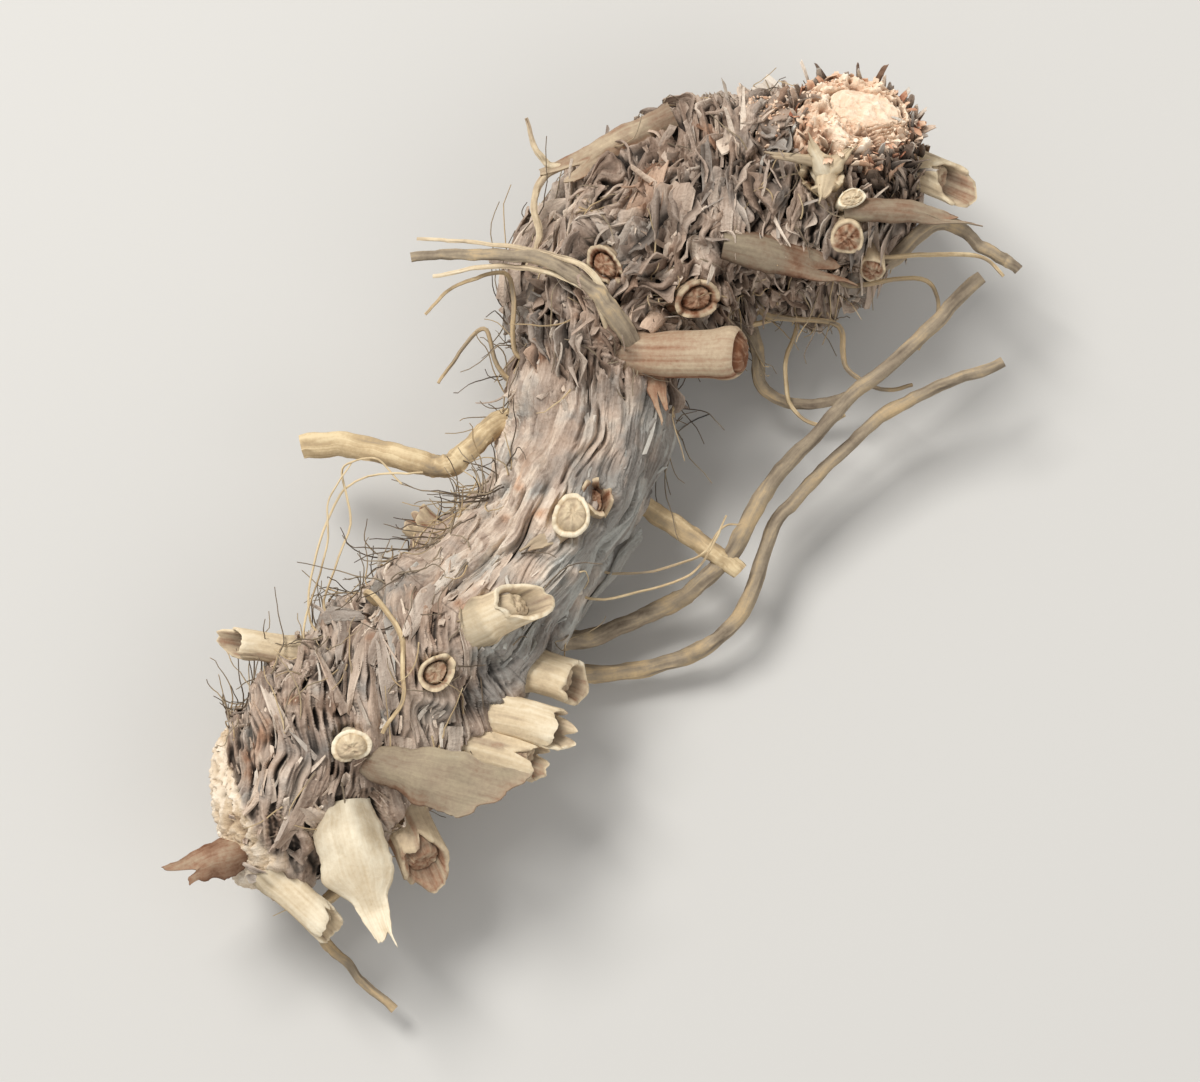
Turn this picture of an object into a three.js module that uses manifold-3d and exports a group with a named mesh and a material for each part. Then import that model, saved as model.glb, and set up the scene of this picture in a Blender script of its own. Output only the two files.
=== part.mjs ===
// A dried rhizome: a short gnarled rootstock, shaggy at both ends, with broken leaf stalks and wiry roots.
// Millimetres, +Z up. The piece lies on Z = 0 and is seen from above, with +X to the right.
import * as THREE from "three";
import { mergeVertices } from "three/addons/utils/BufferGeometryUtils.js";
import Module from "manifold-3d";

const wasm = await Module();
wasm.setup();

// The body's axis, from the crumbled old end to the crown, with its half width and half height along it.
const bodyStations = [
  { at: [-14.5, -12.9, 3.5], wide: 3.1, high: 3.2 },
  { at: [-12.6, -12.5, 3.7], wide: 4.2, high: 3.8 },
  { at: [-9.4, -10.0, 3.9], wide: 4.7, high: 4.1 },
  { at: [-5.0, -5.5, 3.9], wide: 4.3, high: 4.0 },
  { at: [-1.6, -1.6, 3.8], wide: 3.6, high: 3.7 },
  { at: [0.1, 2.1, 3.7], wide: 3.8, high: 3.7 },
  { at: [0.5, 5.3, 3.8], wide: 3.8, high: 3.8 },
  { at: [1.2, 8.6, 4.0], wide: 4.3, high: 4.1 },
  { at: [4.3, 11.2, 4.3], wide: 4.9, high: 4.4 },
  { at: [8.2, 12.4, 4.4], wide: 5.0, high: 4.5 },
  { at: [11.5, 12.8, 4.5], wide: 4.7, high: 4.4 },
  { at: [14.2, 12.8, 4.6], wide: 3.2, high: 3.2 },
];
const middle = [0.77, -1.49]; // plan position of the finished piece's middle, which is moved to X = Y = 0
const endRounding = { old: 0.7, crown: 2.6 }; // how far in from each end the body tapers to its cap
const bodySides = 30;

// Bark relief: low lumps all over, and the torn collars that old leaves left round both shaggy ends.
// The collars fade into long wrinkles in the bare middle, and the strips slant round the body below it.
const lumpHeight = 0.3;
const collars = { count: 26, edge: [0.1, 0.95], foot: 0.22, wave: 0.3, fray: 0.2 };
const strips = { groove: -1, height: [-0.4, 0.4], shaggy: 0.42, bare: 0.2, slant: -0.24, slantFrom: 14 };
const bareMiddle = { at: 18.5, reach: 4.5 };
const barkDepth = 0.55; // outer layer of the body's half width and height that the relief stands in

// Torn leaf bases that stand off both shaggy ends, in rows round the body, and point away from its middle.
const scaleRows = { spacing: 3.2, perRow: 5, margin: 1.6, stray: 0.5 };
const scaleSize = { length: [2.2, 3.6], width: [1.8, 3.0], thick: 0.62, sink: 0.9, lift: [0.3, 1.0] };
const scaleSlant = [-0.35, 0.35];
const seed = 21;

// The broken stem on top of the crown, in torn sheaths of its own, with a dished face of torn wood.
// Each ring of points has a height up the stem and a radius, and is ragged where the stem is torn.
const stem = { from: [10.7, 13.0, 5.4], toward: [0.1, 0.38, 1.0], flat: 0.88, spread: 0.4 };
const stemRings = [
  { height: 0, radius: 0, ragged: 0 },
  { height: 0, radius: 3.6, ragged: 0 },
  { height: 1.9, radius: 4.0, ragged: 0.8 },
  { height: 2.0, radius: 3.5, ragged: 0 },
  { height: 3.4, radius: 3.6, ragged: 0.8 },
  { height: 3.5, radius: 3.0, ragged: 0 },
  { height: 4.7, radius: 2.9, ragged: 0.5 },
  { height: 4.4, radius: 2.3, ragged: 0.3 },
  { height: 4.9, radius: 1.3, ragged: 0.4 },
  { height: 4.5, radius: 0, ragged: 0 },
];
const stemSides = 13;

// Leaf stalks broken off short: place along and round the body, direction, length, width and thickness.
const stalks = [
  { along: 29.2, around: 52, toward: [0.3, -0.6, 1.0], length: 0.9, wide: 1.8, thick: 1.6 },
  { along: 25.3, around: 66, toward: [1.0, -0.12, 0.3], length: 4.2, wide: 2.0, thick: 1.8 },
  { along: 37.6, around: 58, toward: [-0.1, -0.7, 0.8], length: 1.1, wide: 1.3, thick: 1.2 },
  { along: 40.0, around: 58, toward: [1.0, -0.1, 0.45], length: 2.4, wide: 1.7, thick: 1.4 },
  { along: 39.0, around: 40, toward: [0.3, -0.9, 0.4], length: 1.4, wide: 1.3, thick: 1.1 },
  { along: 17.8, around: 74, toward: [0.5, 0.3, 0.9], length: 1.7, wide: 2.3, thick: 1.8 },
  { along: 12.3, around: 76, toward: [0.95, 0.35, 0.5], length: 2.9, wide: 1.9, thick: 1.7 },
  { along: 9.4, around: 78, toward: [0.2, -0.1, 1.0], length: 1.0, wide: 1.9, thick: 1.6 },
  { along: 12.9, around: 16, toward: [0.95, -0.3, 0.3], length: 2.2, wide: 1.9, thick: 1.7 },
  { along: 10.4, around: 26, toward: [0.95, -0.2, 0.3], length: 4.0, wide: 1.6, thick: 1.4 },
  { along: 9.0, around: 22, toward: [0.95, -0.28, 0.15], length: 4.0, wide: 1.7, thick: 1.4 },
  { along: 4.9, around: 80, toward: [0.1, -0.6, 0.8], length: 1.5, wide: 1.5, thick: 1.2 },
  { along: 5.6, around: 8, toward: [0.5, -0.9, 0.15], length: 2.7, wide: 2.2, thick: 1.5 },
  { along: 1.6, around: 22, toward: [0.74, -0.68, 0.02], length: 3.0, wide: 1.8, thick: 1.4 },
  { along: 6.8, around: 168, toward: [-0.95, 0.18, 0.1], length: 2.7, wide: 1.3, thick: 1.0 },
  { along: 32.0, around: 205, toward: [-0.5, 0.8, 0.1], length: 1.4, wide: 1.5, thick: 1.3 },
  { along: 14.5, around: 188, toward: [-0.8, 0.6, 0.1], length: 1.2, wide: 1.4, thick: 1.3 },
];
const stalkSides = 6;
const stalkSink = 1.3;
const stalkHollow = 0.8;
const stalkFray = [-0.35, 0.2];

// Whole leaf bases left at the old end: arched blades, larger than the torn scales.
const leafBases = [
  { along: 5.7, around: 62, toward: [0.94, -0.3, 0.12], length: 5.8, wide: 2.3, thick: 0.7 },
  { along: 3.6, around: 44, toward: [0.24, -0.96, 0.02], length: 5.6, wide: 3.0, thick: 0.9 },
  { along: 0.6, around: 42, toward: [-0.95, -0.2, 0.25], length: 2.7, wide: 1.9, thick: 0.62 },
];
const leafBaseMesh = { rows: 5, columns: 4 };
const leafBaseSink = 0.8;
const leafBaseArch = 0.28;

// Roots: where each leaves the body, the points that it passes, and its radius at the foot and the tip.
const roots = [
  {
    name: "upper sweep",
    along: 15.0,
    around: -28,
    path: [[2.6, -4.7, 1.7], [5.3, -3.0, 2.7], [8.2, 1.0, 3.8], [12.0, 4.7, 4.7], [16.4, 8.7, 5.6]],
    foot: 0.42,
    tip: 0.28,
  },
  {
    name: "lower sweep",
    along: 13.4,
    around: -30,
    path: [[2.4, -6.8, 1.2], [6.0, -5.3, 2.0], [8.7, -0.2, 3.0], [12.8, 3.6, 3.7], [17.3, 5.5, 4.4]],
    foot: 0.4,
    tip: 0.26,
  },
  {
    name: "bent stick",
    along: 20.2,
    around: 186,
    path: [[-4.2, 2.6, 4.2], [-5.1, 1.4, 4.3], [-6.7, 1.0, 4.4], [-9.0, 1.6, 4.3], [-11.2, 2.0, 4.2]],
    foot: 0.6,
    tip: 0.62,
  },
  {
    name: "strand over the elbow",
    along: 25.6,
    around: 64,
    path: [[0.9, 7.4, 8.5], [-1.2, 8.5, 8.2], [-4.0, 9.1, 7.6], [-6.9, 9.0, 7.2]],
    foot: 0.42,
    tip: 0.3,
  },
  {
    name: "peg beside the crown",
    along: 40.2,
    around: 24,
    path: [[14.9, 11.1, 5.2], [16.6, 10.1, 5.1], [18.0, 9.2, 5.0]],
    foot: 0.36,
    tip: 0.26,
  },
  {
    name: "stick below the middle",
    along: 20.4,
    around: -14,
    path: [[4.9, -1.9, 3.0], [6.3, -3.1, 2.9]],
    foot: 0.5,
    tip: 0.42,
  },
  {
    name: "old end trailer",
    along: 3.0,
    around: -12,
    path: [[-10.9, -17.2, 2.3], [-9.6, -18.7, 1.9], [-7.5, -20.6, 1.4]],
    foot: 0.4,
    tip: 0.24,
  },
  {
    name: "loop under the crown",
    along: 33.6,
    around: -20,
    path: [[7.3, 6.6, 2.6], [7.6, 5.0, 2.2], [9.4, 4.2, 2.0], [11.3, 4.7, 2.0]],
    foot: 0.36,
    tip: 0.24,
  },
];
const rootSides = 6;
const rootStep = 1.6;
const rootSink = 1.2;

// A tan strip of dried stalk folded over the elbow's far side.
const strip = {
  path: [[3.4, 14.9, 7.6], [0.8, 14.2, 7.2], [-1.9, 13.7, 6.0], [-2.5, 12.3, 5.4], [-2.4, 10.0, 5.4]],
  wide: 1.1,
  thick: 0.65,
};

const up = new THREE.Vector3(0, 0, 1);
const barkColour = 0x7d7265;
const weldDistance = 1e-4;

// Draws the same numbers on every run.
function drawer(start) {
  let state = start;
  return (low, high) => {
    state = (Math.imul(state, 1664525) + 1013904223) >>> 0;
    return low + ((high - low) * state) / 2 ** 32;
  };
}

function listOf(length, make) {
  return Array.from({ length }, (_, i) => make(i));
}

// The body's centre line, and its half width and half height as a second curve over the same stations.
const axis = new THREE.CatmullRomCurve3(bodyStations.map((s) => new THREE.Vector3(...s.at)));
const girth = new THREE.CatmullRomCurve3(bodyStations.map((s) => new THREE.Vector3(s.wide, s.high, 0)));
axis.arcLengthDivisions = 400;
const bodyLength = axis.getLength();

// Everything that a point of the bark needs at one distance along the body.
function sectionAt(along) {
  const share = THREE.MathUtils.clamp(along / bodyLength, 0, 1);
  const t = axis.getUtoTmapping(share);
  const tangent = axis.getTangent(t);
  const side = new THREE.Vector3().crossVectors(tangent, up).normalize();
  const size = girth.getPoint(t);
  return {
    centre: axis.getPoint(t),
    tangent,
    side,
    over: new THREE.Vector3().crossVectors(side, tangent),
    wide: size.x,
    high: size.y,
  };
}

// 1 where the bark is bare, falling to 0 towards both crowns.
function bareness(along) {
  return Math.exp(-(((along - bareMiddle.at) / bareMiddle.reach) ** 2));
}

function lumpAt(along, angle) {
  const broad = Math.sin(0.9 * along + 2 * angle) + Math.sin(1.7 * along - 3 * angle + 1.2);
  return (lumpHeight / 3) * (broad + Math.sin(0.6 * along + 5 * angle));
}

// A point on or off the bark: along the body, round it from its right side over the top, and out from it.
function barkPoint(along, angle, out) {
  const s = sectionAt(along);
  const fromEnd = Math.min(along / endRounding.old, (bodyLength - along) / endRounding.crown, 1);
  const cap = Math.sqrt(Math.max(0, 1 - (1 - fromEnd) ** 2));
  const lift = (lumpAt(along, angle) + out) * Math.min(1, cap * 1.4) - barkDepth * cap;
  return s.centre
    .clone()
    .addScaledVector(s.side, Math.cos(angle) * (s.wide * cap + lift))
    .addScaledVector(s.over, Math.sin(angle) * (s.high * cap + lift));
}

// Moves every point of a geometry to where place(point, index) puts it.
function reshape(geometry, place) {
  const position = geometry.attributes.position;
  for (let i = 0; i < position.count; i++) {
    const moved = place(new THREE.Vector3().fromBufferAttribute(position, i), i);
    position.setXYZ(i, moved.x, moved.y, moved.z);
  }
  return geometry;
}

// A closed geometry as a solid with its faces pointing out, whichever way its shaping turned them.
function solidOf(geometry) {
  const bare = new THREE.BufferGeometry().setAttribute("position", geometry.attributes.position);
  bare.setIndex(geometry.index);
  const merged = mergeVertices(bare, weldDistance);
  const corners = merged.index.array;
  const points = merged.attributes.position;
  const [a, b, c] = [new THREE.Vector3(), new THREE.Vector3(), new THREE.Vector3()];
  const kept = [];
  let volume = 0;
  for (let i = 0; i < corners.length; i += 3) {
    const [p, q, r] = corners.slice(i, i + 3);
    if (p === q || q === r || r === p) continue;
    kept.push([p, q, r]);
    volume += a.fromBufferAttribute(points, p).dot(
      b.fromBufferAttribute(points, q).cross(c.fromBufferAttribute(points, r)),
    );
  }
  const triVerts = new Uint32Array(kept.flatMap(([p, q, r]) => (volume < 0 ? [p, r, q] : [p, q, r])));
  return new wasm.Manifold(new wasm.Mesh({ numProp: 3, vertProperties: points.array, triVerts }));
}

// The body with its collars. Its rows of points lie in pairs: one on a collar's torn edge, and one just past
// it, away from the bare middle, at the next collar's foot. Its columns are long strips of uneven height.
function makeBody(draw) {
  const rows = collars.count * 2;
  const step = bodyLength / collars.count;
  const stripHeights = listOf(bodySides, (i) => (i % 3 ? draw(...strips.height) : strips.groove));
  const tears = listOf((rows + 1) * bodySides, () => ({
    edge: draw(...collars.edge),
    shift: draw(-collars.fray, collars.fray),
  }));
  return reshape(new THREE.SphereGeometry(1, bodySides, rows), (_, index) => {
    const row = Math.floor(index / (bodySides + 1));
    const column = (index % (bodySides + 1)) % bodySides;
    const turn = (-2 * Math.PI * column) / bodySides;
    const outward = (row / rows) * bodyLength < bareMiddle.at ? -1 : 1;
    const collar = outward < 0 ? Math.ceil(row / 2) : Math.floor(row / 2);
    const onEdge = row % 2 === 0;
    const tear = tears[collar * bodySides + column];
    const atPole = row === 0 || row === rows;
    const sway = atPole ? 0 : collars.wave * Math.sin(3 * turn + 1.7 * collar) + tear.shift;
    const along = collar * step + sway + (onEdge ? 0 : outward * collars.foot);
    const bare = bareness(along);
    const edge = onEdge ? tear.edge * (1 - bare) : 0;
    const strip = stripHeights[column] * THREE.MathUtils.lerp(strips.shaggy, strips.bare, bare);
    return barkPoint(along, turn + strips.slant * Math.max(0, strips.slantFrom - along), edge + strip);
  });
}

// The outline of a torn leaf base: a narrow root, a wide middle and a broken tip, each a little different.
function leafOutline(length, width, draw) {
  const half = width / 2;
  const outline = new THREE.Shape();
  outline.moveTo(-half * 0.8, 0);
  outline.lineTo(half * 0.8, 0);
  outline.lineTo(half, length * draw(0.45, 0.6));
  outline.lineTo(half * draw(-0.2, 0.5), length);
  outline.lineTo(-half, length * draw(0.5, 0.75));
  outline.closePath();
  return outline;
}

// One torn leaf base laid on the bark: it follows the body's round and lifts off towards its tip.
function makeScale(along, angle, draw) {
  const length = draw(...scaleSize.length);
  const underneath = Math.sin(angle) < -0.6;
  const rise = scaleSize.sink + draw(...scaleSize.lift) * (underneath ? 0.4 : 1);
  const slant = draw(...scaleSlant);
  const outward = along > bareMiddle.at ? 1 : -1;
  const outline = leafOutline(length, draw(...scaleSize.width), draw);
  const blade = new THREE.ExtrudeGeometry(outline, { depth: scaleSize.thick, bevelEnabled: false });
  return reshape(blade, (p) => {
    const place = THREE.MathUtils.clamp(along + outward * p.y * 0.8, 0.4, bodyLength - 0.5);
    const s = sectionAt(place);
    const turn = (p.x + slant * p.y) / ((s.wide + s.high) / 2);
    return barkPoint(place, angle + turn, p.z - scaleSize.sink + rise * (p.y / length));
  });
}

function makeScales() {
  const draw = drawer(seed);
  const blades = [];
  for (let row = scaleRows.margin; row < bodyLength - scaleRows.margin; row += scaleRows.spacing) {
    const offset = draw(0, 1);
    for (let i = 0; i < scaleRows.perRow; i++) {
      const angle = (2 * Math.PI * (i + offset + draw(-0.2, 0.2))) / scaleRows.perRow;
      const along = row + draw(-scaleRows.stray, scaleRows.stray);
      if (draw(0, 1) > 0.75 * bareness(along)) blades.push(makeScale(along, angle, draw));
    }
  }
  return blades;
}

// Moves a geometry made along +Y, with its foot at the origin, to stand on a place and point a given way.
function standOn(geometry, foot, toward) {
  const y = new THREE.Vector3(...toward).normalize();
  const x = new THREE.Vector3().crossVectors(y, up).normalize();
  const z = new THREE.Vector3().crossVectors(x, y);
  return geometry.applyMatrix4(new THREE.Matrix4().makeBasis(x, y, z).setPosition(foot));
}

// A hollow broken stalk: a short tube with a ragged rim, sunk into the bark at its foot.
function makeStalk(stalk, draw) {
  const floor = stalk.length - Math.min(stalkHollow, stalk.length / 2);
  const rim = stalk.length;
  const profile = [
    [0, -stalkSink],
    [0.42, -stalkSink],
    [0.5, 0],
    [0.47, stalk.length * 0.6],
    [0.5, rim],
    [0.3, rim],
    [0.24, floor],
    [0, floor],
  ];
  const frays = listOf(stalkSides, () => draw(...stalkFray));
  const tube = new THREE.LatheGeometry(profile.map(([r, h]) => new THREE.Vector2(r, h)), stalkSides);
  reshape(tube, (p, index) => {
    const side = Math.floor(index / profile.length) % stalkSides;
    const fray = profile[index % profile.length][1] === rim ? frays[side] : 0;
    return p.set(p.x * stalk.wide, p.y + fray, p.z * stalk.thick);
  });
  const foot = barkPoint(stalk.along, THREE.MathUtils.degToRad(stalk.around), -0.1);
  return standOn(tube, foot, stalk.toward);
}

// A whole leaf base: an arched blade, wide near its foot, that narrows to its broken tip.
function makeLeafBase(leaf) {
  const slab = new THREE.BoxGeometry(1, 1, 1, leafBaseMesh.columns, leafBaseMesh.rows, 1);
  reshape(slab, (p) => {
    const reach = p.y + 0.5;
    const width = leaf.wide * (0.6 + 0.9 * reach - reach ** 2);
    const arch = (1 - (2 * p.x) ** 2) * Math.sin(Math.PI * Math.min(1, reach + 0.25));
    const height = p.z * leaf.thick + leafBaseArch * leaf.wide * arch;
    return p.set(p.x * width, reach * (leaf.length + leafBaseSink) - leafBaseSink, height);
  });
  const foot = barkPoint(leaf.along, THREE.MathUtils.degToRad(leaf.around), 0);
  return standOn(slab, foot, leaf.toward);
}

// A run of elliptical section along a smooth curve, from its two half widths at the foot to those at the tip.
function makeRun(points, footSize, tipSize) {
  const curve = new THREE.CatmullRomCurve3(points);
  const steps = Math.max(3, Math.round(curve.getLength() / rootStep));
  const frames = curve.computeFrenetFrames(steps);
  return reshape(new THREE.CylinderGeometry(1, 1, 1, rootSides, steps), (p) => {
    const row = Math.round((0.5 - p.y) * steps);
    const share = row / steps;
    return curve
      .getPointAt(share)
      .addScaledVector(frames.normals[row], p.x * THREE.MathUtils.lerp(footSize[0], tipSize[0], share))
      .addScaledVector(frames.binormals[row], p.z * THREE.MathUtils.lerp(footSize[1], tipSize[1], share));
  });
}

function makeRoot(root) {
  const angle = THREE.MathUtils.degToRad(root.around);
  const sunk = barkPoint(root.along, angle, -rootSink);
  const leaves = barkPoint(root.along, angle, 0.3);
  const points = [sunk, leaves, ...root.path.map((p) => new THREE.Vector3(...p))];
  return makeRun(points, [root.foot, root.foot], [root.tip, root.tip]);
}

function makeStrip() {
  const size = [strip.wide / 2, strip.thick / 2];
  return makeRun(strip.path.map((p) => new THREE.Vector3(...p)), size, size);
}

// The broken stem, with ragged rings where its sheaths and its wood are torn.
function makeStem(draw) {
  const profile = stemRings.map((ring) => new THREE.Vector2(ring.radius, ring.height));
  const rags = stemRings.map((ring) => listOf(stemSides, () => draw(-ring.ragged, ring.ragged)));
  const stump = reshape(new THREE.LatheGeometry(profile, stemSides), (p, index) => {
    const side = Math.floor(index / stemRings.length) % stemSides;
    const rag = rags[index % stemRings.length][side];
    const spread = 1 + stem.spread * rag;
    return p.set(p.x * spread, p.y + rag, p.z * stem.flat * spread);
  });
  return standOn(stump, new THREE.Vector3(...stem.from), stem.toward);
}

// All of it joined as it grew, trimmed flat where it rests; a crumb that the joining leaves loose is dropped.
function makeRhizome() {
  const draw = drawer(seed + 1);
  const parts = [
    makeBody(draw),
    makeStem(draw),
    ...makeScales(),
    ...stalks.map((s) => makeStalk(s, draw)),
    ...leafBases.map(makeLeafBase),
    ...roots.map(makeRoot),
    makeStrip(),
  ].map(solidOf);
  const ground = solidOf(new THREE.BoxGeometry(80, 80, 20).translate(0, 0, -10));
  const pieces = wasm.Manifold.union(parts).subtract(ground).decompose();
  return pieces.reduce((best, piece) => (piece.volume() > best.volume() ? piece : best));
}

function geometryOf(solid) {
  const { vertProperties, triVerts } = solid.getMesh();
  const geometry = new THREE.BufferGeometry();
  geometry.setAttribute("position", new THREE.BufferAttribute(new Float32Array(vertProperties), 3));
  geometry.setIndex(new THREE.BufferAttribute(new Uint32Array(triVerts), 1));
  geometry.computeVertexNormals();
  return geometry;
}

const bark = new THREE.MeshStandardMaterial({ color: barkColour, roughness: 0.9, metalness: 0 });
const rhizome = new THREE.Mesh(geometryOf(makeRhizome()), bark);
rhizome.name = "rhizome";
rhizome.position.set(-middle[0], -middle[1], 0);

const part = new THREE.Group();
part.name = "dried rhizome";
part.add(rhizome);

export default part;
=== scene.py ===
import math

import bmesh
import bpy
import numpy as np
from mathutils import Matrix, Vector


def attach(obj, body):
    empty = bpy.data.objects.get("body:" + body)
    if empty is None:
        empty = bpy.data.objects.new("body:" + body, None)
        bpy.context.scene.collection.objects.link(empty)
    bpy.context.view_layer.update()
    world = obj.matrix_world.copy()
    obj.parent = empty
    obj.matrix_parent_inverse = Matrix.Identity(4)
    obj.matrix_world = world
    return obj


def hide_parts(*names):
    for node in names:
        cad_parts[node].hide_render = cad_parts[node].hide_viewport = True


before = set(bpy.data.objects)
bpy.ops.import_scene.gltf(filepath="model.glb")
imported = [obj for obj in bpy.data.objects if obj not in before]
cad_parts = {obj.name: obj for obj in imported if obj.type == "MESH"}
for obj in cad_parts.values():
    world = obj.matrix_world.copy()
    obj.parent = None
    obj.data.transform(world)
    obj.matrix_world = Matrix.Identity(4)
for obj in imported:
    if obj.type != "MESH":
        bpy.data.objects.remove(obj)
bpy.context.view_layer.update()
chance = np.random.default_rng(11)

# The rhizome's own shape, in millimetres and as its source has it: its axis from the crumbled old end to the
# crown, as x, y, z, half width and half height. Angles round it start at its right side and go over its top.
body = {
    "stations": [
        (-14.5, -12.9, 3.5, 3.1, 3.2),
        (-12.6, -12.5, 3.7, 4.2, 3.8),
        (-9.4, -10, 3.9, 4.7, 4.1),
        (-5, -5.5, 3.9, 4.3, 4),
        (-1.6, -1.6, 3.8, 3.6, 3.7),
        (0.1, 2.1, 3.7, 3.8, 3.7),
        (0.5, 5.3, 3.8, 3.8, 3.8),
        (1.2, 8.6, 4, 4.3, 4.1),
        (4.3, 11.2, 4.3, 4.9, 4.4),
        (8.2, 12.4, 4.4, 5, 4.5),
        (11.5, 12.8, 4.5, 4.7, 4.4),
        (14.2, 12.8, 4.6, 3.2, 3.2),
    ],
    "middle": (0.77, -1.49, 0),  # what the source moves to the frame's origin
    "oldRounding": 0.7,
    "crownRounding": 2.6,
    "lumps": 0.3,
    "barkDepth": 0.55,
    "bareAt": 18.5,
    "bareReach": 4.5,
    "floorGap": 0.02,
    "radius": 4.2,
}


def smoothCurve(points, share):
    # centripetal Catmull-Rom through the points, at shares from 0 to 1 of the way
    points = np.asarray(points, float)
    padded = np.vstack([2 * points[0] - points[1], points, 2 * points[-1] - points[-2]])
    at = np.asarray(share, float) * (len(points) - 1)
    first = np.clip(at.astype(int), 0, len(points) - 2)
    w = (at - first)[:, None]
    a, b, c, d = (padded[first + k] for k in range(4))
    pairs = ((a, b), (b, c), (c, d))
    ab, bc, cd = (np.sqrt(np.linalg.norm(q - p, axis=1, keepdims=True)) for p, q in pairs)
    leave = ((b - a) / ab - (c - a) / (ab + bc) + (c - b) / bc) * bc
    arrive = ((c - b) / bc - (d - b) / (bc + cd) + (d - c) / cd) * bc
    return b + w * leave + w**2 * (3 * (c - b) - 2 * leave - arrive) + w**3 * (2 * (b - c) + leave + arrive)


def unitRows(vectors):
    return vectors / np.maximum(np.linalg.norm(vectors, axis=-1, keepdims=True), 1e-9)


def together(parts):
    # three arrays as the coordinates of points; points stay as they are
    return np.stack(np.broadcast_arrays(*parts), -1) if isinstance(parts, tuple) else np.asarray(parts, float)


def offset(points, *moves):
    # the points moved by amounts along directions
    for amount, direction in moves:
        points = points + np.asarray(amount)[..., None] * direction
    return points


def makeSections(shape, count=1201):
    share = np.linspace(0, 1, count)
    stations = np.array(shape["stations"])
    centre = smoothCurve(stations[:, :3], share)
    girth = smoothCurve(np.c_[stations[:, 3:], np.zeros(len(stations))], share)[:, :2]
    forward = unitRows(np.gradient(centre, axis=0))
    side = unitRows(np.cross(forward, (0, 0, 1)))
    over = np.cross(side, forward)
    steps = np.linalg.norm(np.diff(centre, axis=0), axis=1)
    return np.r_[0, np.cumsum(steps)], np.c_[centre, forward, side, over, girth]


sectionAlong, sectionTable = makeSections(body)
bodyLength = sectionAlong[-1]


def sectionAt(along):
    flat = np.ravel(along)
    rows = np.stack([np.interp(flat, sectionAlong, column) for column in sectionTable.T], -1)
    rows = rows.reshape(np.shape(along) + (14,))
    return rows[..., 0:3], rows[..., 3:6], rows[..., 6:9], rows[..., 9:12], rows[..., 12], rows[..., 13]


def barenessAt(along):
    return np.exp(-(((along - body["bareAt"]) / body["bareReach"]) ** 2))


def lumpAt(along, angle):
    broad = np.sin(0.9 * along + 2 * angle) + np.sin(1.7 * along - 3 * angle + 1.2)
    return body["lumps"] / 3 * (broad + np.sin(0.6 * along + 5 * angle))


def capAt(along):
    old, crown = along / body["oldRounding"], (bodyLength - along) / body["crownRounding"]
    fromEnd = np.clip(np.minimum(old, crown), 0, 1)
    return np.sqrt(1 - (1 - fromEnd) ** 2)


def barkPoint(along, angle, out):
    along, angle, out = np.broadcast_arrays(along, angle, out)
    centre, _, side, over, wide, high = sectionAt(along)
    cap = capAt(along)
    lift = (lumpAt(along, angle) + out) * np.minimum(1, cap * 1.4) - body["barkDepth"] * cap
    across, upward = np.cos(angle) * (wide * cap + lift), np.sin(angle) * (high * cap + lift)
    return offset(centre, (across, side), (upward, over))


lattice = np.random.default_rng(5).random((32, 32, 32))


def noiseAt(points, size, seed=0):
    # smooth noise from 0 to 1, in lumps of the given size
    place = together(points) / size + 17.31 * seed
    cell = np.floor(place).astype(int)
    w = place - cell
    w = w * w * (3 - 2 * w)
    x, y, z = (np.stack([cell[..., k], cell[..., k] + 1]) % len(lattice) for k in range(3))
    near = lattice[x[:, None, None], y[None, :, None], z[None, None, :]]
    for k in range(3):
        near = near[0] + (near[1] - near[0]) * w[..., k]
    return near


def layered(points, size, layers=3, seed=0):
    # noise in layers, each half as large and half as strong as the one before
    points = together(points) / size
    weights = [0.5**i for i in range(layers)]
    return sum(noiseAt(points, w, seed + i) * w for i, w in enumerate(weights)) / sum(weights)


def smoothStep(low, high, value):
    share = np.clip((value - low) / (high - low), 0, 1)
    return share * share * (3 - 2 * share)


def ridged(noise):
    return 1 - np.abs(2 * noise - 1)


def grooved(noise, narrow):
    return smoothStep(0, narrow, np.abs(2 * noise - 1))


def terraced(noise, levels):
    # torn layers one over another, with steep edges
    level = levels * noise
    return (np.floor(level) + smoothStep(0.65, 1, level % 1)) / levels


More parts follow.
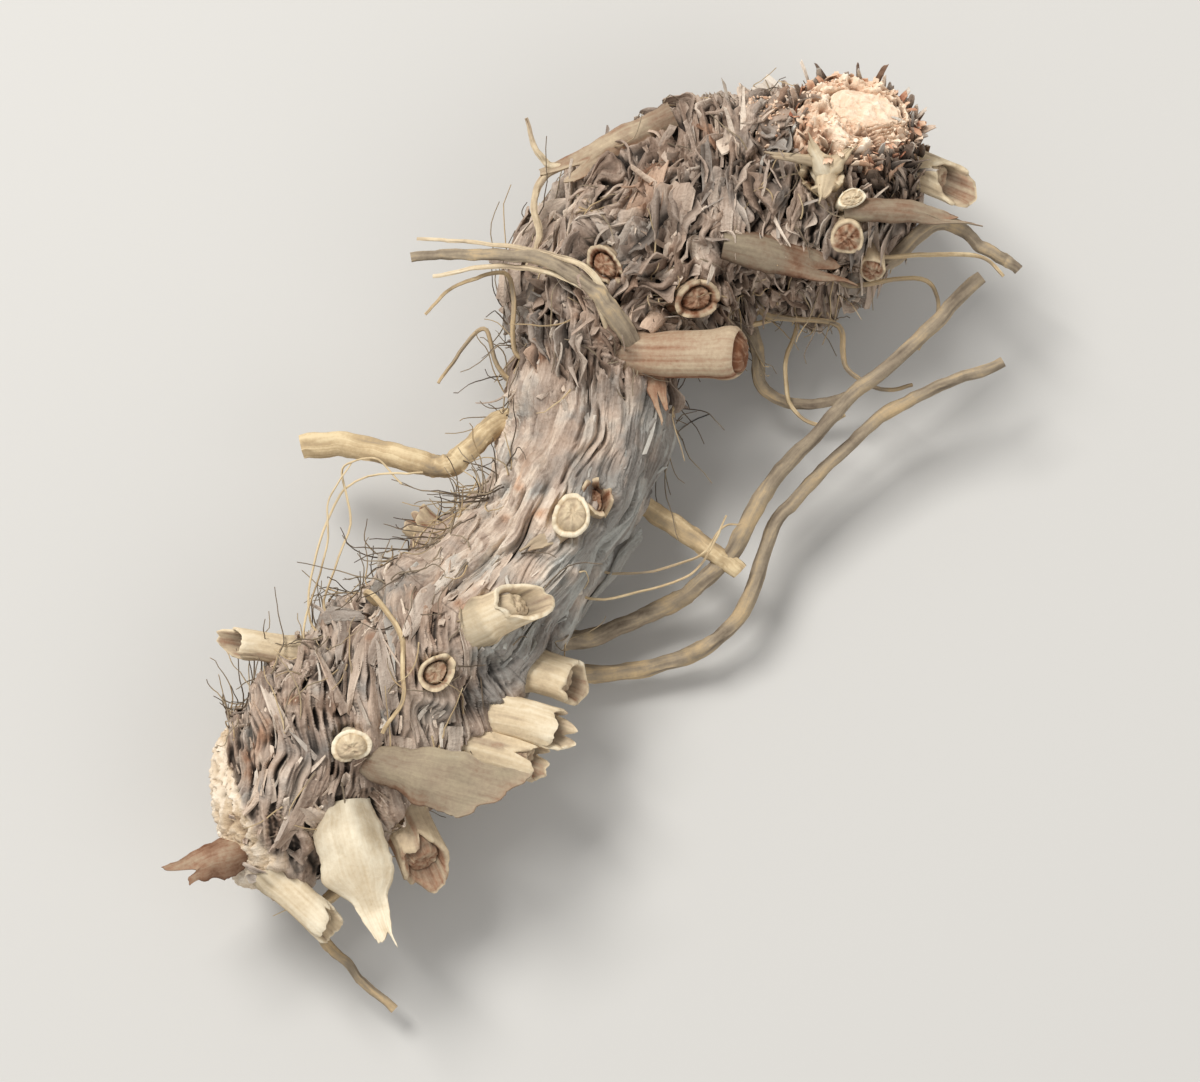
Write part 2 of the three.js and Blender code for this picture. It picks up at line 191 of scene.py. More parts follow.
# Relief of the bark. Each pattern has its size, its height and its seed. On the lobe and the lower body it is
# torn up and down the picture, and sizes are across the picture, up it and in height. In the bare middle it
# runs along the body, and the last size is along it. Bends and calm patches have a size and a strength.
relief = {
    "bend": (2.6, 1.2),
    "smallBend": (0.8, 0.34),
    "lowerBend": 0.4,  # how much of these bends is left on the lower body
    "calm": (2.3, 0.3),  # the strength is how much of their folds is left
    "lobeLean": 0.35,
    "levels": 9,
    "lobe": {
        "folds": ((0.55, 2.1, 1.8), 0.72, 21),
        "fineFolds": ((0.26, 0.9, 0.8), 0.42, 22),
        "gaps": ((1.2, 2.4, 2.2), 0.5, 24),
        "pits": ((0.55, 1.2, 1.2), 0.7, 29),
        "layers": ((1.1, 1.9, 1.9), 0.75, 26),
        "fibres": ((0.12, 0.9, 0.7), 0.09, 28),
    },
    "middle": {
        "folds": ((0.48, 0.48, 4.5), 0.17, 31),
        "fineFolds": ((0.17, 0.17, 2), 0.17, 32),
        "gaps": ((1.8, 1.8, 6.5), 0.3, 34),
        "pits": ((0.5, 0.5, 2.4), 0.38, 39),
        "layers": ((1.2, 1.2, 3.4), 0.44, 36),
        "fibres": ((0.1, 0.1, 1.3), 0.11, 38),
    },
    "lower": {
        "folds": ((0.45, 3, 2.4), 0.24, 41),
        "fineFolds": ((0.17, 1.5, 1.3), 0.18, 42),
        "gaps": ((1.3, 4.6, 3.8), 0.2, 44),
        "pits": ((0.38, 1.9, 1.6), 0.3, 49),
        "layers": ((0.9, 2.8, 2.4), 0.55, 46),
        "fibres": ((0.09, 1.1, 0.9), 0.1, 48),
    },
}


def zonesAt(along):
    # how far a place belongs to the lobe and to the bare middle; the rest is the lower body
    onLobe = smoothStep(23.5, 27, along)
    return onLobe, smoothStep(10, 14.5, along) * (1 - onLobe)


def foldPlaces(along, angle):
    # coordinates of the folds: those torn up and down the picture, and then the lengthwise ones
    where = barkPoint(along, angle, 0)
    bend = 2 * (layered(where, relief["bend"][0], 2, 1) - 0.5) * relief["bend"][1]
    bend = bend + 2 * (noiseAt(where, relief["smallBend"][0], 3) - 0.5) * relief["smallBend"][1]
    onLobe, inMiddle = zonesAt(along)
    bend = bend * (1 - (1 - relief["lowerBend"]) * (1 - onLobe - inMiddle))
    lean = relief["lobeLean"] * onLobe * smoothStep(7, 1, where[..., 0]) * (where[..., 1] - 11)
    around = angle + 0.5 * bend / body["radius"]
    lengthwise = (np.cos(around) * body["radius"], np.sin(around) * body["radius"], along)
    return together((where[..., 0] + bend - lean, where[..., 1], where[..., 2])), together(lengthwise)


def patternOf(points, look, calm):
    # the height of the relief, and the tone that sets its torn layers apart
    noise = {name: layered(points, size, 2, seed) for name, (size, _, seed) in look.items()}
    tall = {name: height for name, (_, height, _) in look.items()}
    height = calm * tall["folds"] * (ridged(noise["folds"]) ** 1.6 - 0.45)
    height = height + calm * tall["fineFolds"] * (ridged(noise["fineFolds"]) ** 1.4 - 0.5)
    height = height + tall["gaps"] * (grooved(noise["gaps"], 0.15) - 0.9)
    height = height - tall["pits"] * smoothStep(0.6, 0.68, noise["pits"])
    height = height + tall["layers"] * 2 * (terraced(noise["layers"], relief["levels"]) - 0.5)
    height = height + tall["fibres"] * (ridged(noise["fibres"]) - 0.6)
    return height, np.sin(3.7 * np.floor(relief["levels"] * noise["layers"]))


def reliefAt(along, angle):
    torn, lengthwise = foldPlaces(along, angle)
    size, least = relief["calm"]
    calm = least + (1 - least) * smoothStep(0.35, 0.55, layered(torn, size, 2, 5))
    onLobe, inMiddle = zonesAt(along)
    zones = {"lobe": (torn, onLobe), "middle": (lengthwise, inMiddle), "lower": (torn, 1 - onLobe - inMiddle)}
    parts = [(patternOf(points, relief[zone], calm), share) for zone, (points, share) in zones.items()]
    return sum(p[0] * share for p, share in parts), sum(p[1] * share for p, share in parts)


# One small function turns the sRGB hex of a colour into Blender's linear values.
def colour(text):
    parts = [int(text[i : i + 2], 16) / 255 for i in (1, 3, 5)]
    linear = [p / 12.92 if p <= 0.04045 else ((p + 0.055) / 1.055) ** 2.4 for p in parts]
    return (*linear, 1)


def addNode(tree, kind, settings=None, links=None):
    # settings are sockets or properties by name, and stops are a colour ramp's places and colours
    node = tree.nodes.new("ShaderNode" + kind)
    for name, value in (settings or {}).items():
        if name == "stops":
            ramp = node.color_ramp
            while len(ramp.elements) < len(value):
                ramp.elements.new(0.5)
            for element, (place, shade) in zip(ramp.elements, value):
                element.position = place
                element.color = colour(shade) if isinstance(shade, str) else (shade, shade, shade, 1)
        elif isinstance(name, int) or name in node.inputs:
            node.inputs[name].default_value = value
        else:
            setattr(node, name, value)
    for name, source in (links or {}).items():
        tree.links.new(source, node.inputs[name])
    return node.outputs


def perMetre(size):
    # a texture's scale for a pattern of this size in millimetres
    return 1000 / size


# Every dry surface here is plant tissue: rough, dull and fibrous. What differs is its colours, by the tone of
# its flake and by a painted shade that darkens crevices, feet and undersides, and how coarse its fibres are.
def makeTissue(name, look):
    material = bpy.data.materials.new(name)
    material.use_nodes = True
    tree = material.node_tree
    tree.nodes.clear()
    place = addNode(tree, "TexCoord")["Object"]
    grain = addNode(tree, "Attribute", {"attribute_name": "grain"})["Vector"]
    stretch = {"Scale": (1 / look["fibre"], 1 / look["fibreRun"], 1)}
    stretched = addNode(tree, "Mapping", stretch, {"Vector": grain})["Vector"]
    # the tone of the flake, shifted by its fibres, grit and blotches
    mixed, noises = addNode(tree, "Attribute", {"attribute_name": "tone"})["Fac"], []
    for source, scale, detail, roughness, strength in (
        (stretched, 1, 3, 0.6, look["fibreShade"]),
        (place, perMetre(look["grit"]), 3, 0.65, look["gritShade"]),
        (place, perMetre(look["blotch"]), 2, 0.5, 0.35),
    ):
        settings = {"Scale": scale, "Detail": detail, "Roughness": roughness}
        noises.append(addNode(tree, "TexNoise", settings, {"Vector": source})["Fac"])
        settings = {"operation": "MULTIPLY_ADD", 1: strength, 2: -strength / 2}
        scaled = addNode(tree, "Math", settings, {0: noises[-1]})[0]
        mixed = addNode(tree, "Math", {"operation": "ADD"}, {0: mixed, 1: scaled})[0]
    shade = addNode(tree, "ValToRGB", {"stops": look["colours"]}, {"Fac": mixed})["Color"]
    if "paleColours" in look:
        bare = addNode(tree, "Attribute", {"attribute_name": "pale"})["Fac"]
        wood = addNode(tree, "ValToRGB", {"stops": look["paleColours"]}, {"Fac": mixed})["Color"]
        shade = addNode(tree, "Mix", {"data_type": "RGBA"}, {0: bare, 6: shade, 7: wood})[2]
    # the painted shade ramp multiplies in shade: darkest in crevices, at the feet of flakes and stalks and on
    # undersides; the tints shift the colour between reddish and bluish grey
    for key, ramp in (("rise", "paintedShadeRamp"), ("cool", "tints")):
        if ramp in look:
            source = addNode(tree, "Attribute", {"attribute_name": key})["Fac"]
            paintedShadeOrTint = addNode(tree, "ValToRGB", {"stops": look[ramp]}, {"Fac": source})["Color"]
            settings = {"data_type": "RGBA", "blend_type": "MULTIPLY", 0: 1.0}
            shade = addNode(tree, "Mix", settings, {6: shade, 7: paintedShadeOrTint})[2]
    rough = addNode(tree, "Math", {"operation": "MULTIPLY_ADD", 1: 0.6}, {0: noises[0], 2: noises[1]})[0]
    settings = {"Strength": look["bump"], "Distance": look["bumpDepth"] / 1000}
    bump = addNode(tree, "Bump", settings, {"Height": rough})["Normal"]
    settings = {"Roughness": look["roughness"], "IOR": 1.45, "Specular IOR Level": look["gloss"]}
    surface = addNode(tree, "BsdfPrincipled", settings, {"Base Color": shade, "Normal": bump})[0]
    addNode(tree, "OutputMaterial", {}, {"Surface": surface})
    return material


# Bark of dried leaf bases, lighter and greyer on its torn edges, with painted shade that makes it dark brown
# in the gaps.
barkLook = {
    "fibre": 0.12,
    "fibreRun": 1.6,
    "grit": 0.16,
    "blotch": 2.6,
    "fibreShade": 0.65,
    "gritShade": 0.35,
    "colours": [(0, "#5a473a"), (0.3, "#8f7d6f"), (0.55, "#b6a698"), (0.8, "#d1c4b5"), (1, "#e8ddce")],
    # painted shade: near-black brown in the deepest crevices, none on the tops
    "paintedShadeRamp": [(0, 0.07), (0.28, 0.27), (0.52, 0.74), (0.76, 1)],
    "paleColours": [(0, "#8f7158"), (0.35, "#c9b598"), (0.65, "#dfd1bb"), (1, "#efe6d6")],
    "tints": [(0, "#e6c4ac"), (0.22, "#faefe5"), (0.55, "#fff9f3"), (1, "#c6ced3")],
    "bump": 0.9,
    "bumpDepth": 0.09,
    "roughness": 0.88,
    "gloss": 0.3,
}
# Straw of dry leaf stalks: pale, with fine lengthwise strands, brown where it was torn.
stalkLook = {
    "fibre": 0.14,
    "fibreRun": 3,
    "grit": 0.18,
    "blotch": 1.4,
    "fibreShade": 0.36,
    "gritShade": 0.32,
    "colours": [(0, "#6e4328"), (0.18, "#97745a"), (0.4, "#b09b80"), (0.65, "#cfba98"), (1, "#ecdfc4")],
    # painted shade: darkest at the foot and down the hollow
    "paintedShadeRamp": [(0, 0.1), (0.4, 0.5), (0.8, 0.95), (1, 1)],
    "tints": [(0, "#ffffff"), (1, "#c3c5c6")],
    "bump": 0.5,
    "bumpDepth": 0.05,
    "roughness": 0.75,
    "gloss": 0.4,
}
# Torn wood of the broken stem and the old end: pale and crumbly, reddish and darkened by painted shade in its
# cracks.
fleshLook = {
    "fibre": 0.16,
    "fibreRun": 0.8,
    "grit": 0.22,
    "blotch": 1.5,
    "fibreShade": 0.5,
    "gritShade": 0.5,
    "colours": [(0, "#935a43"), (0.3, "#cd9e7e"), (0.6, "#e4c4a6"), (0.85, "#f1dabf"), (1, "#fae9d4")],
    # painted shade in the cracks and hollows
    "paintedShadeRamp": [(0, 0.12), (0.3, 0.5), (0.6, 0.9), (1, 1)],
    "bump": 0.8,
    "bumpDepth": 0.08,
    "roughness": 0.85,
    "gloss": 0.3,
}
# Skin of wiry roots: finely wrinkled along its length, tan to grey-brown.
rootLook = {
    "fibre": 0.11,
    "fibreRun": 2.4,
    "grit": 0.15,
    "blotch": 2,
    "fibreShade": 0.55,
    "gritShade": 0.3,
    "colours": [(0, "#4a3d31"), (0.3, "#7b6c5a"), (0.55, "#9b8b74"), (0.8, "#bda37c"), (1, "#d9c39b")],
    # painted shade in the grooves
    "paintedShadeRamp": [(0, 0.3), (0.5, 0.8), (1, 1)],
    "bump": 0.5,
    "bumpDepth": 0.04,
    "roughness": 0.78,
    "gloss": 0.4,
}

tissues = {
    "bark": makeTissue("driedBark", barkLook),
    "stalk": makeTissue("dryStalkStraw", stalkLook),
    "flesh": makeTissue("tornPithyWood", fleshLook),
    "root": makeTissue("wiryRootSkin", rootLook),
}
print("materials made")


def meshOf(shape):
    mesh = bpy.data.meshes.new("template")
    shape.to_mesh(mesh)
    shape.free()
    return mesh


def sheetTemplate(columns, rows):
    # a thin closed sheet: x from -0.5 to 0.5, y from 0 to 1 and z from -0.5 to 0.5
    shape = bmesh.new()
    bmesh.ops.create_grid(shape, x_segments=columns, y_segments=rows, size=0.5)
    bmesh.ops.solidify(shape, geom=shape.faces[:], thickness=0.1)
    middle = sum(v.co.z for v in shape.verts) / len(shape.verts)
    bmesh.ops.translate(shape, verts=shape.verts, vec=(0, 0.5, -middle))
    bmesh.ops.scale(shape, verts=shape.verts, vec=(1, 1, 10))
    return meshOf(shape)


def tubeTemplate(sides, rings):
    # a closed tube: a unit circle in x and y, and z from 0 to 1
    shape = bmesh.new()
    bmesh.ops.create_cone(shape, cap_ends=True, segments=sides, radius1=1, radius2=1, depth=1)
    bmesh.ops.translate(shape, verts=shape.verts, vec=(0, 0, 0.5))
    upright = [e for e in shape.edges if abs(e.verts[0].co.z - e.verts[1].co.z) > 0.5]
    bmesh.ops.subdivide_edges(shape, edges=upright, cuts=rings - 1)
    return meshOf(shape)


def spunTemplate(profile, sides):
    # a profile of radius and height, spun round z
    shape = bmesh.new()
    rim = [shape.verts.new((radius, 0, height)) for radius, height in profile]
    geom = rim + [shape.edges.new(pair) for pair in zip(rim, rim[1:])]
    about = {"cent": (0, 0, 0), "axis": (0, 0, 1), "angle": 2 * math.pi}
    bmesh.ops.spin(shape, geom=geom, steps=sides, use_merge=True, use_duplicate=False, **about)
    bmesh.ops.remove_doubles(shape, verts=shape.verts, dist=1e-5)
    bmesh.ops.recalc_face_normals(shape, faces=shape.faces)
    return meshOf(shape)


def addObject(name, data):
    thing = bpy.data.objects.new(name, data)
    bpy.context.scene.collection.objects.link(thing)
    return thing


def modified(template, kind, settings):
    # the template as one modifier leaves it
    carrier = addObject("carrier", template)
    modifier = carrier.modifiers.new("shaping", kind)
    for name, value in settings.items():
        setattr(modifier, name, value)
    graph = bpy.context.evaluated_depsgraph_get()
    mesh = bpy.data.meshes.new_from_object(carrier.evaluated_get(graph))
    bpy.data.objects.remove(carrier)
    return mesh


def repeatMesh(template, count):
    # the template repeated in place in one mesh, with its points as count x points x 3
    mesh = modified(template, "ARRAY", {"count": count, "use_relative_offset": False})
    points = np.zeros(len(mesh.vertices) * 3, np.float32)
    mesh.vertices.foreach_get("co", points)
    return mesh, points.reshape(count, -1, 3).astype(float)


def sleeveTemplate(columns, rows, closedEnds):
    # a unit circle pulled out along z, a row of points at each whole number, drawn together at its closed ends
    shape = bmesh.new()
    bmesh.ops.create_circle(shape, segments=columns, radius=1)
    pull = {"angle": 0, "screw_offset": rows, "steps": rows, "render_steps": rows}
    sleeve = modified(meshOf(shape), "SCREW", pull)
    shape = bmesh.new()
    shape.from_mesh(sleeve)
    for level in closedEnds:
        ring = [v for v in shape.verts if abs(v.co.z - level) < 0.5]
        bmesh.ops.pointmerge(shape, verts=ring, merge_co=(0, 0, level))
    bmesh.ops.recalc_face_normals(shape, faces=shape.faces)
    return meshOf(shape)


def finishPiece(name, mesh, points, slotName, values, sharpAngle=42):
    placed = np.reshape(points, (-1, 3)) - body["middle"]
    placed[:, 2] = np.maximum(placed[:, 2], body["floorGap"])
    mesh.vertices.foreach_set("co", (placed / 1000).astype(np.float32).ravel())
    for key, value in ({"pale": 0} | values).items():
        kind, field = ("FLOAT_VECTOR", "vector") if key == "grain" else ("FLOAT", "value")
        value = together(value) if key == "grain" else np.broadcast_to(value, np.shape(points)[:-1])
        layer = mesh.attributes.new(key, kind, "POINT")
        layer.data.foreach_set(field, np.asarray(value, np.float32).ravel())
    mesh.polygons.foreach_set("use_smooth", np.ones(len(mesh.polygons), bool))
    mesh.set_sharp_from_angle(angle=math.radians(sharpAngle))
    mesh.materials.clear()
    mesh.materials.append(tissues[slotName])
    mesh.update()
    piece = addObject(name, mesh)
    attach(piece, "root")
    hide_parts("rhizome")
    print(name, "made,", sum(len(p.vertices) - 2 for p in mesh.polygons), "triangles")


def spread(limits, shape):
    return chance.uniform(limits[0], limits[1], shape)


# How cool the bark is, from 0 for reddish brown to 1: the right flank of the middle is bluish.
def coolAt(along, angle):
    where = (along, 4 * np.cos(angle), 4 * np.sin(angle))
    flank = smoothStep(1.5, 0.5, np.abs((angle - 0.1 + math.pi) % (2 * math.pi) - math.pi))
    flank = flank * smoothStep(9, 13, along) * smoothStep(26, 21, along)
    return np.clip(1.4 * layered(where, 0.9, 3, 9) - 0.18 + 0.6 * flank, 0, 1)


# Leaf stalks broken off short: along and round the body, direction, length, width, thickness, tone, the depth
# of the hollow, how far the break slants, and how frayed it is. A depth below 0 is a raised core, and from
# -0.3 on a swollen head.
stalks = {
    "list": [
        (30.5, 40, (0.3, -0.4, 1), 0.95, 1.9, 1.5, 0.36, 0.1, 0, 0.5),
        (25.1, 58, (1, -0.12, 0.3), 4.3, 2.1, 1.9, 0.27, -0.3, 0.1, 0.3),
        (28.4, 92, (-0.2, -0.2, 1), 0.8, 1.7, 1.2, 0.36, 0.1, 0.1, 1.4),
        (38.1, 82, (-0.1, -0.2, 1), 1.5, 1.7, 1.4, 0.5, 0.9, 0.1, 2.4),
        (38.9, 66, (0.1, -0.2, 1), 1.5, 1.2, 0.7, 0.85, -0.15, 0.1, 0.5),
        (38.9, 55, (-0.05, -0.6, 0.8), 1.4, 1.4, 1.3, 0.44, -0.15, 0.1, 0.4),
        (40, 36, (0, -0.95, 0.5), 1.2, 1.1, 1, 0.42, -0.15, 0.2, 0.5),
        (41.7, 99, (0.85, -0.42, 0.3), 2.1, 1.8, 1.3, 0.6, 0.7, 0.9, 0.9),
        (17.9, 71, (0.15, 0, 1), 1.2, 1.6, 1.4, 0.74, -0.35, 0.2, 1),
        (18.9, 61, (0.2, 0.1, 1), 1.3, 1.5, 1.2, 0.42, 0.7, 0.1, 1.8),
        (12.9, 72, (0.95, 0.42, 0.35), 1.8, 1.9, 1.7, 0.7, 0.35, 0.9, 0.35),
        (10, 73, (0.2, -0.1, 1), 0.85, 1.6, 1.3, 0.5, 0.3, 0.1, 0.5),
        (12.9, 16, (0.95, -0.3, 0.3), 2.1, 1.9, 1.6, 0.6, 0.4, 0.25, 0.5),
        (10.4, 25, (0.95, -0.2, 0.3), 3.4, 1.6, 1.2, 0.64, 0.5, 0.3, 1.3),
        (9.1, 23, (0.95, -0.24, 0.2), 2.9, 1.6, 1.1, 0.6, 0.3, 0.3, 1.3),
        (6, 78, (0.05, -0.4, 0.9), 0.7, 1.4, 1.2, 0.74, -0.35, 0.2, 0.5),
        (5.6, 8, (0.5, -0.9, 0.15), 2.5, 2, 1.2, 0.44, 0.25, 0.8, 1.3),
        (1.6, 22, (0.74, -0.68, 0.02), 2.8, 1.45, 1.1, 0.72, 0.15, 0.3, 1.1),
        (6.8, 168, (-0.95, 0.18, 0.1), 2.5, 1.2, 0.9, 0.6, 0.5, 0.8, 1.2),
        (32, 205, (-0.5, 0.8, 0.1), 1.4, 1.5, 1.3, 0.45, 0.5, 0.4, 0.8),
        (14.5, 188, (-0.8, 0.6, 0.1), 1.2, 1.4, 1.3, 0.45, 0.5, 0.3, 0.8),
    ],
    "sides": 48,
    "sink": 0.9,
    "wall": 0.12,
    "ridge": 0.05,
    "keel": 0.07,
    "rag": 0.34,
    "notch": 0.45,
}
# Whole leaf bases, splinters and flaps: along and round the body, direction, length, width, thickness, tone,
# the shares of the width from root to tip, how deeply the tip is forked, how it arches, how far off the bark
# it starts, how grey it is and how far one side outruns the other.
leafBases = {
    "list": [
        (6, 64, (0.96, -0.27, 0.12), 5.2, 2.4, 0.35, 0.42,
         (0.3, 0.62, 0.9, 1, 0.85), 0, 0.16, 0, 0.75, -0.28),
        (3.9, 38, (0.18, -0.96, 0.04), 4.7, 2.8, 0.45, 0.84, (0.75, 0.95, 1, 0.5, 0.3), 0, 0.42, 0, 0, -0.05),
        (0.6, 42, (-0.95, -0.2, 0.25), 2.2, 1.6, 0.25, 0.22, (0.7, 1, 0.9, 0.7, 0.5), 0.3, 0.45, 0, 0.1, 0.3),
        (32.8, 141, (-4.3, -1.95, -0.7), 4.7, 1.2, 0.25, 0.4,
         (0.9, 1, 0.95, 0.9, 0.9), 0.2, 0.3, 0.45, 0.1, 0.2),
        (33.9, 56, (1, -0.1, -0.12), 4.4, 1.5, 0.25, 0.26,
         (0.8, 1, 0.95, 0.85, 0.6), 0.25, 0.3, 0.3, 0.8, 0.15),
        (17.5, 71, (-0.75, -0.65, 0.1), 1.7, 0.9, 0.25, 0.55, (1, 1, 0.9, 0.7, 0.4), 0.1, 0.2, 0.2, 0.3, 0.2),
        (24.4, 46, (0.3, -0.95, 0.1), 2, 1, 0.2, 0.25, (1, 0.9, 0.8, 0.6, 0.4), 0.4, 0.2, 0.4, 0, 0.2),
        (37.8, 88, (-1, 0.15, 0.25), 1.9, 0.8, 0.2, 0.5, (1, 0.7, 0.5, 0.4, 0.25), 0, 0.3, 1.2, 0.4, 0.2),
        (38, 86, (-0.3, 0.75, 0.6), 1.2, 1, 0.2, 0.62, (1, 0.9, 0.7, 0.4, 0.15), 0, 0.3, 1.2, 0.2, 0.2),
        (38.4, 84, (0.7, 0.45, 0.6), 1.2, 1, 0.2, 0.64, (1, 0.9, 0.7, 0.4, 0.15), 0, 0.3, 1.1, 0.2, 0.2),
        (38.2, 80, (-0.15, -0.8, 0.5), 1.4, 1.1, 0.2, 0.58, (1, 1, 0.8, 0.5, 0.2), 0, 0.3, 1, 0.2, 0.2),
        (39.6, 64, (1, 0.05, 0.05), 4, 0.95, 0.2, 0.36, (0.8, 1, 1, 0.9, 0.6), 0.2, 0.4, 1, 0.7, 0.3),
    ],
    "mesh": (20, 32),
    "sink": 0.8,
    "ragged": 0.55,
    "tipRagged": 0.26,
}


# The bark: one fine skin over the whole body, made in lengths. Its columns lie closer on the upper side. At
# the old end it is worn down to crumbled wood.
skin = {
    "lengths": 4,
    "rows": 780,
    "columns": 372,
    "crowding": 0.35,
    "near": 2,
    "far": 9,
    "smooth": 5,
    "lean": 1.3,
    "oldFace": (1.2, 0.45, 0.8),  # how far it is worn, how much further below, and how raggedly
    "crumbs": (0.22, 0.28),  # size and height
    "swell": (0.4, 0.62, 0.25),  # height, and distance and reach in widths of the stalk
}


def blurred(grid, reach):
    # the mean over this many neighbours on each side, along the body and round it
    for axis in (0, 1):
        grid = sum(np.roll(grid, k, axis) for k in range(-reach, reach + 1)) / (2 * reach + 1)
    return grid


def makeSkinGrid():
    profile = np.linspace(0, bodyLength, 4000)
    outline = np.stack([profile, sectionAt(profile)[4] * capAt(profile)], -1)
    walk = np.r_[0, np.cumsum(np.linalg.norm(np.diff(outline, axis=0), axis=1))]
    along = np.interp(np.linspace(0, walk[-1], skin["rows"] + 1), walk, profile)
    turn = 2 * math.pi * np.arange(skin["columns"] + 1) / skin["columns"]
    return along, turn + skin["crowding"] * (np.cos(turn) - 1)


def swellAt(along, angle):
    # bark drawn up round the feet of the stalks
    where = barkPoint(along, angle, 0)
    height, ring, reach = skin["swell"]
    feet = [(barkPoint(row[0], math.radians(row[1]), 0), row[4]) for row in stalks["list"]]
    apart = [np.linalg.norm(where - foot, axis=-1) / wide for foot, wide in feet]
    return sum(height * np.exp(-(((d - ring) / reach) ** 2)) for d in apart)


skinAlong, skinAngle = makeSkinGrid()
gridAlong, gridAngle = np.meshgrid(skinAlong, skinAngle[:-1], indexing="ij")
skinHeight, skinTone = reliefAt(gridAlong, gridAngle)
skinHeight = skinHeight + swellAt(gridAlong, gridAngle)
skinSmooth = blurred(skinHeight, skin["smooth"])
print("relief made")


def gridAt(grid, along, angle):
    # the grid's value at its nearest point
    row = np.rint(np.interp(along, skinAlong, np.arange(len(skinAlong)))).astype(int)
    around = np.mod(angle - skinAngle[0], 2 * math.pi) + skinAngle[0]
    column = np.rint(np.interp(around, skinAngle, np.arange(len(skinAngle)))).astype(int)
    return grid[row, column % skin["columns"]]


def toneAt(along, angle):
    where = barkPoint(along, angle, 0)
    onLobe = zonesAt(along)[0]
    atNeck = np.exp(-(((along - 25.2) / 1.7) ** 2))
    steady = 0.54 - 0.1 * onLobe - 0.2 * atNeck + 0.23 * barenessAt(along)
    return steady + 0.6 * (layered(where, 2.1, 3, 12) - 0.5)


def fibreGrain(along, angle):
    smooth = together((angle * body["radius"], along, 0))
    return np.where(zonesAt(along)[1][..., None] > 0.5, smooth, foldPlaces(along, angle)[0])


def makeSkin():
    along, angle = gridAlong, gridAngle
    near, far = skinHeight - blurred(skinHeight, skin["near"]), skinHeight - blurred(skinHeight, skin["far"])
    where = barkPoint(along, angle, 0)
    lean = skin["lean"] * (2 * noiseAt(where, 2.3, 15) - 1) * (1 - 0.8 * barenessAt(along))
    least, further, ragged = skin["oldFace"]
    faceEnd = least + further * np.maximum(0, np.cos(angle - 0.8))
    faceEnd = faceEnd + ragged * (layered(where, 0.9, 2, 63) - 0.5)
    worn = smoothStep(faceEnd + 0.12, faceEnd - 0.12, along)
    points = barkPoint(along, angle + lean * far / body["radius"], skinHeight * (1 - 0.75 * worn))
    size, deep = skin["crumbs"]
    crumbs = layered(where, size, 3, 61) - 0.5
    points = offset(points, (-worn * crumbs * 2 * deep, sectionAt(0.0)[1]))
    calm = zonesAt(along)[1]
    # painted shade: darker where the relief lies below its local means, in the crevices, and less in the bare
    # middle
    rise = np.clip(0.5 + 0.3 * calm + 2.6 * near + (1 - 0.6 * calm) * 1.25 * far, 0, 1)
    values = {
        "tone": toneAt(along, angle) + 0.13 * skinTone + worn * (0.1 + 0.8 * crumbs),
        # at the worn face the painted shade follows the crumbs: lighter where they stand out
        "rise": rise + worn * (np.clip(0.8 + 1.3 * crumbs, 0, 1) - rise),
        "cool": coolAt(along, angle) * (1 - worn) + 0.5 * worn,
        "pale": worn,
        "grain": fibreGrain(along, angle),
    }
    ends = np.linspace(0, skin["rows"], skin["lengths"] + 1).astype(int)
    for number, (first, last) in enumerate(zip(ends, ends[1:])):
        closed = [level for level, end in ((0, 0), (last - first, skin["rows"])) if level + first == end]
        mesh, unit = repeatMesh(sleeveTemplate(skin["columns"], last - first, closed), 1)
        row = np.rint(unit[0, :, 2]).astype(int) + first
        turn = np.arctan2(-unit[0, :, 1], unit[0, :, 0]) / (2 * math.pi) * skin["columns"]
        column = np.rint(turn).astype(int) % skin["columns"]
        own = {key: value[row, column] for key, value in values.items()}
        finishPiece(f"barkSkin{number + 1}", mesh, points[row, column], "bark", own, 180)


def fibreHeading(along, angle, step=0.2):
    # the way the folds run there, as an angle from the body's axis
    turn = step / body["radius"]
    ahead = foldPlaces(along + step, angle)[0][..., 0] - foldPlaces(along - step, angle)[0][..., 0]
    aside = foldPlaces(along, angle + turn)[0][..., 0] - foldPlaces(along, angle - turn)[0][..., 0]
    inMiddle = zonesAt(along)[1]
    aside = aside * (1 - inMiddle) - 2 * step * inMiddle * np.sign(np.sin(angle))
    return np.arctan2(ahead * (1 - inMiddle), -aside)


# Where flakes root: spread evenly, thinned out in the bare middle and underneath, and clear of what stands
# there.
def rootPlaces(flakes):
    tries = np.arange(int(flakes["count"] * 2.4))
    low, high = flakes["along"]
    along = low + (high - low) * ((tries * 0.754877666 + chance.random()) % 1)
    angle = 2 * math.pi * ((tries * 0.569840291 + chance.random()) % 1)
    along = along + spread((-0.3, 0.3), len(tries))
    angle = angle + spread((-0.08, 0.08), len(tries))
    keep = 1 - flakes["avoid"] * barenessAt(along)
    keep = keep * (1 - 0.35 * smoothStep(-0.3, -0.8, np.sin(angle))) * standsClear(along, angle)
    chosen = np.flatnonzero(chance.random(len(tries)) < keep)[: flakes["count"]]
    return along[chosen, None], angle[chosen, None]


def standsClear(along, angle):
    # false within the stalks, the leaf bases and the crown
    places = barkPoint(along, angle, 0.2)
    clear = np.ones(len(places), bool)
    for row in stalks["list"] + leafBases["list"]:
        foot = barkPoint(np.array([row[0]]), np.radians([row[1]]), 0.0)
        ahead = unitRows(np.array([row[2]], float))
        reach = np.clip(((places - foot) * ahead).sum(-1, keepdims=True), 0.4 * row[3], row[3])
        clear &= np.linalg.norm(places - foot - reach * ahead, axis=1) > 0.5 * row[4]
    foot, ahead = np.array([crown["from"]]), unitRows(np.array([crown["toward"]], float))
    reach = np.maximum(((places - foot) * ahead).sum(-1, keepdims=True), 0)
    return clear & (np.linalg.norm(places - foot - reach * ahead, axis=1) > crown["radius"] + 0.5)


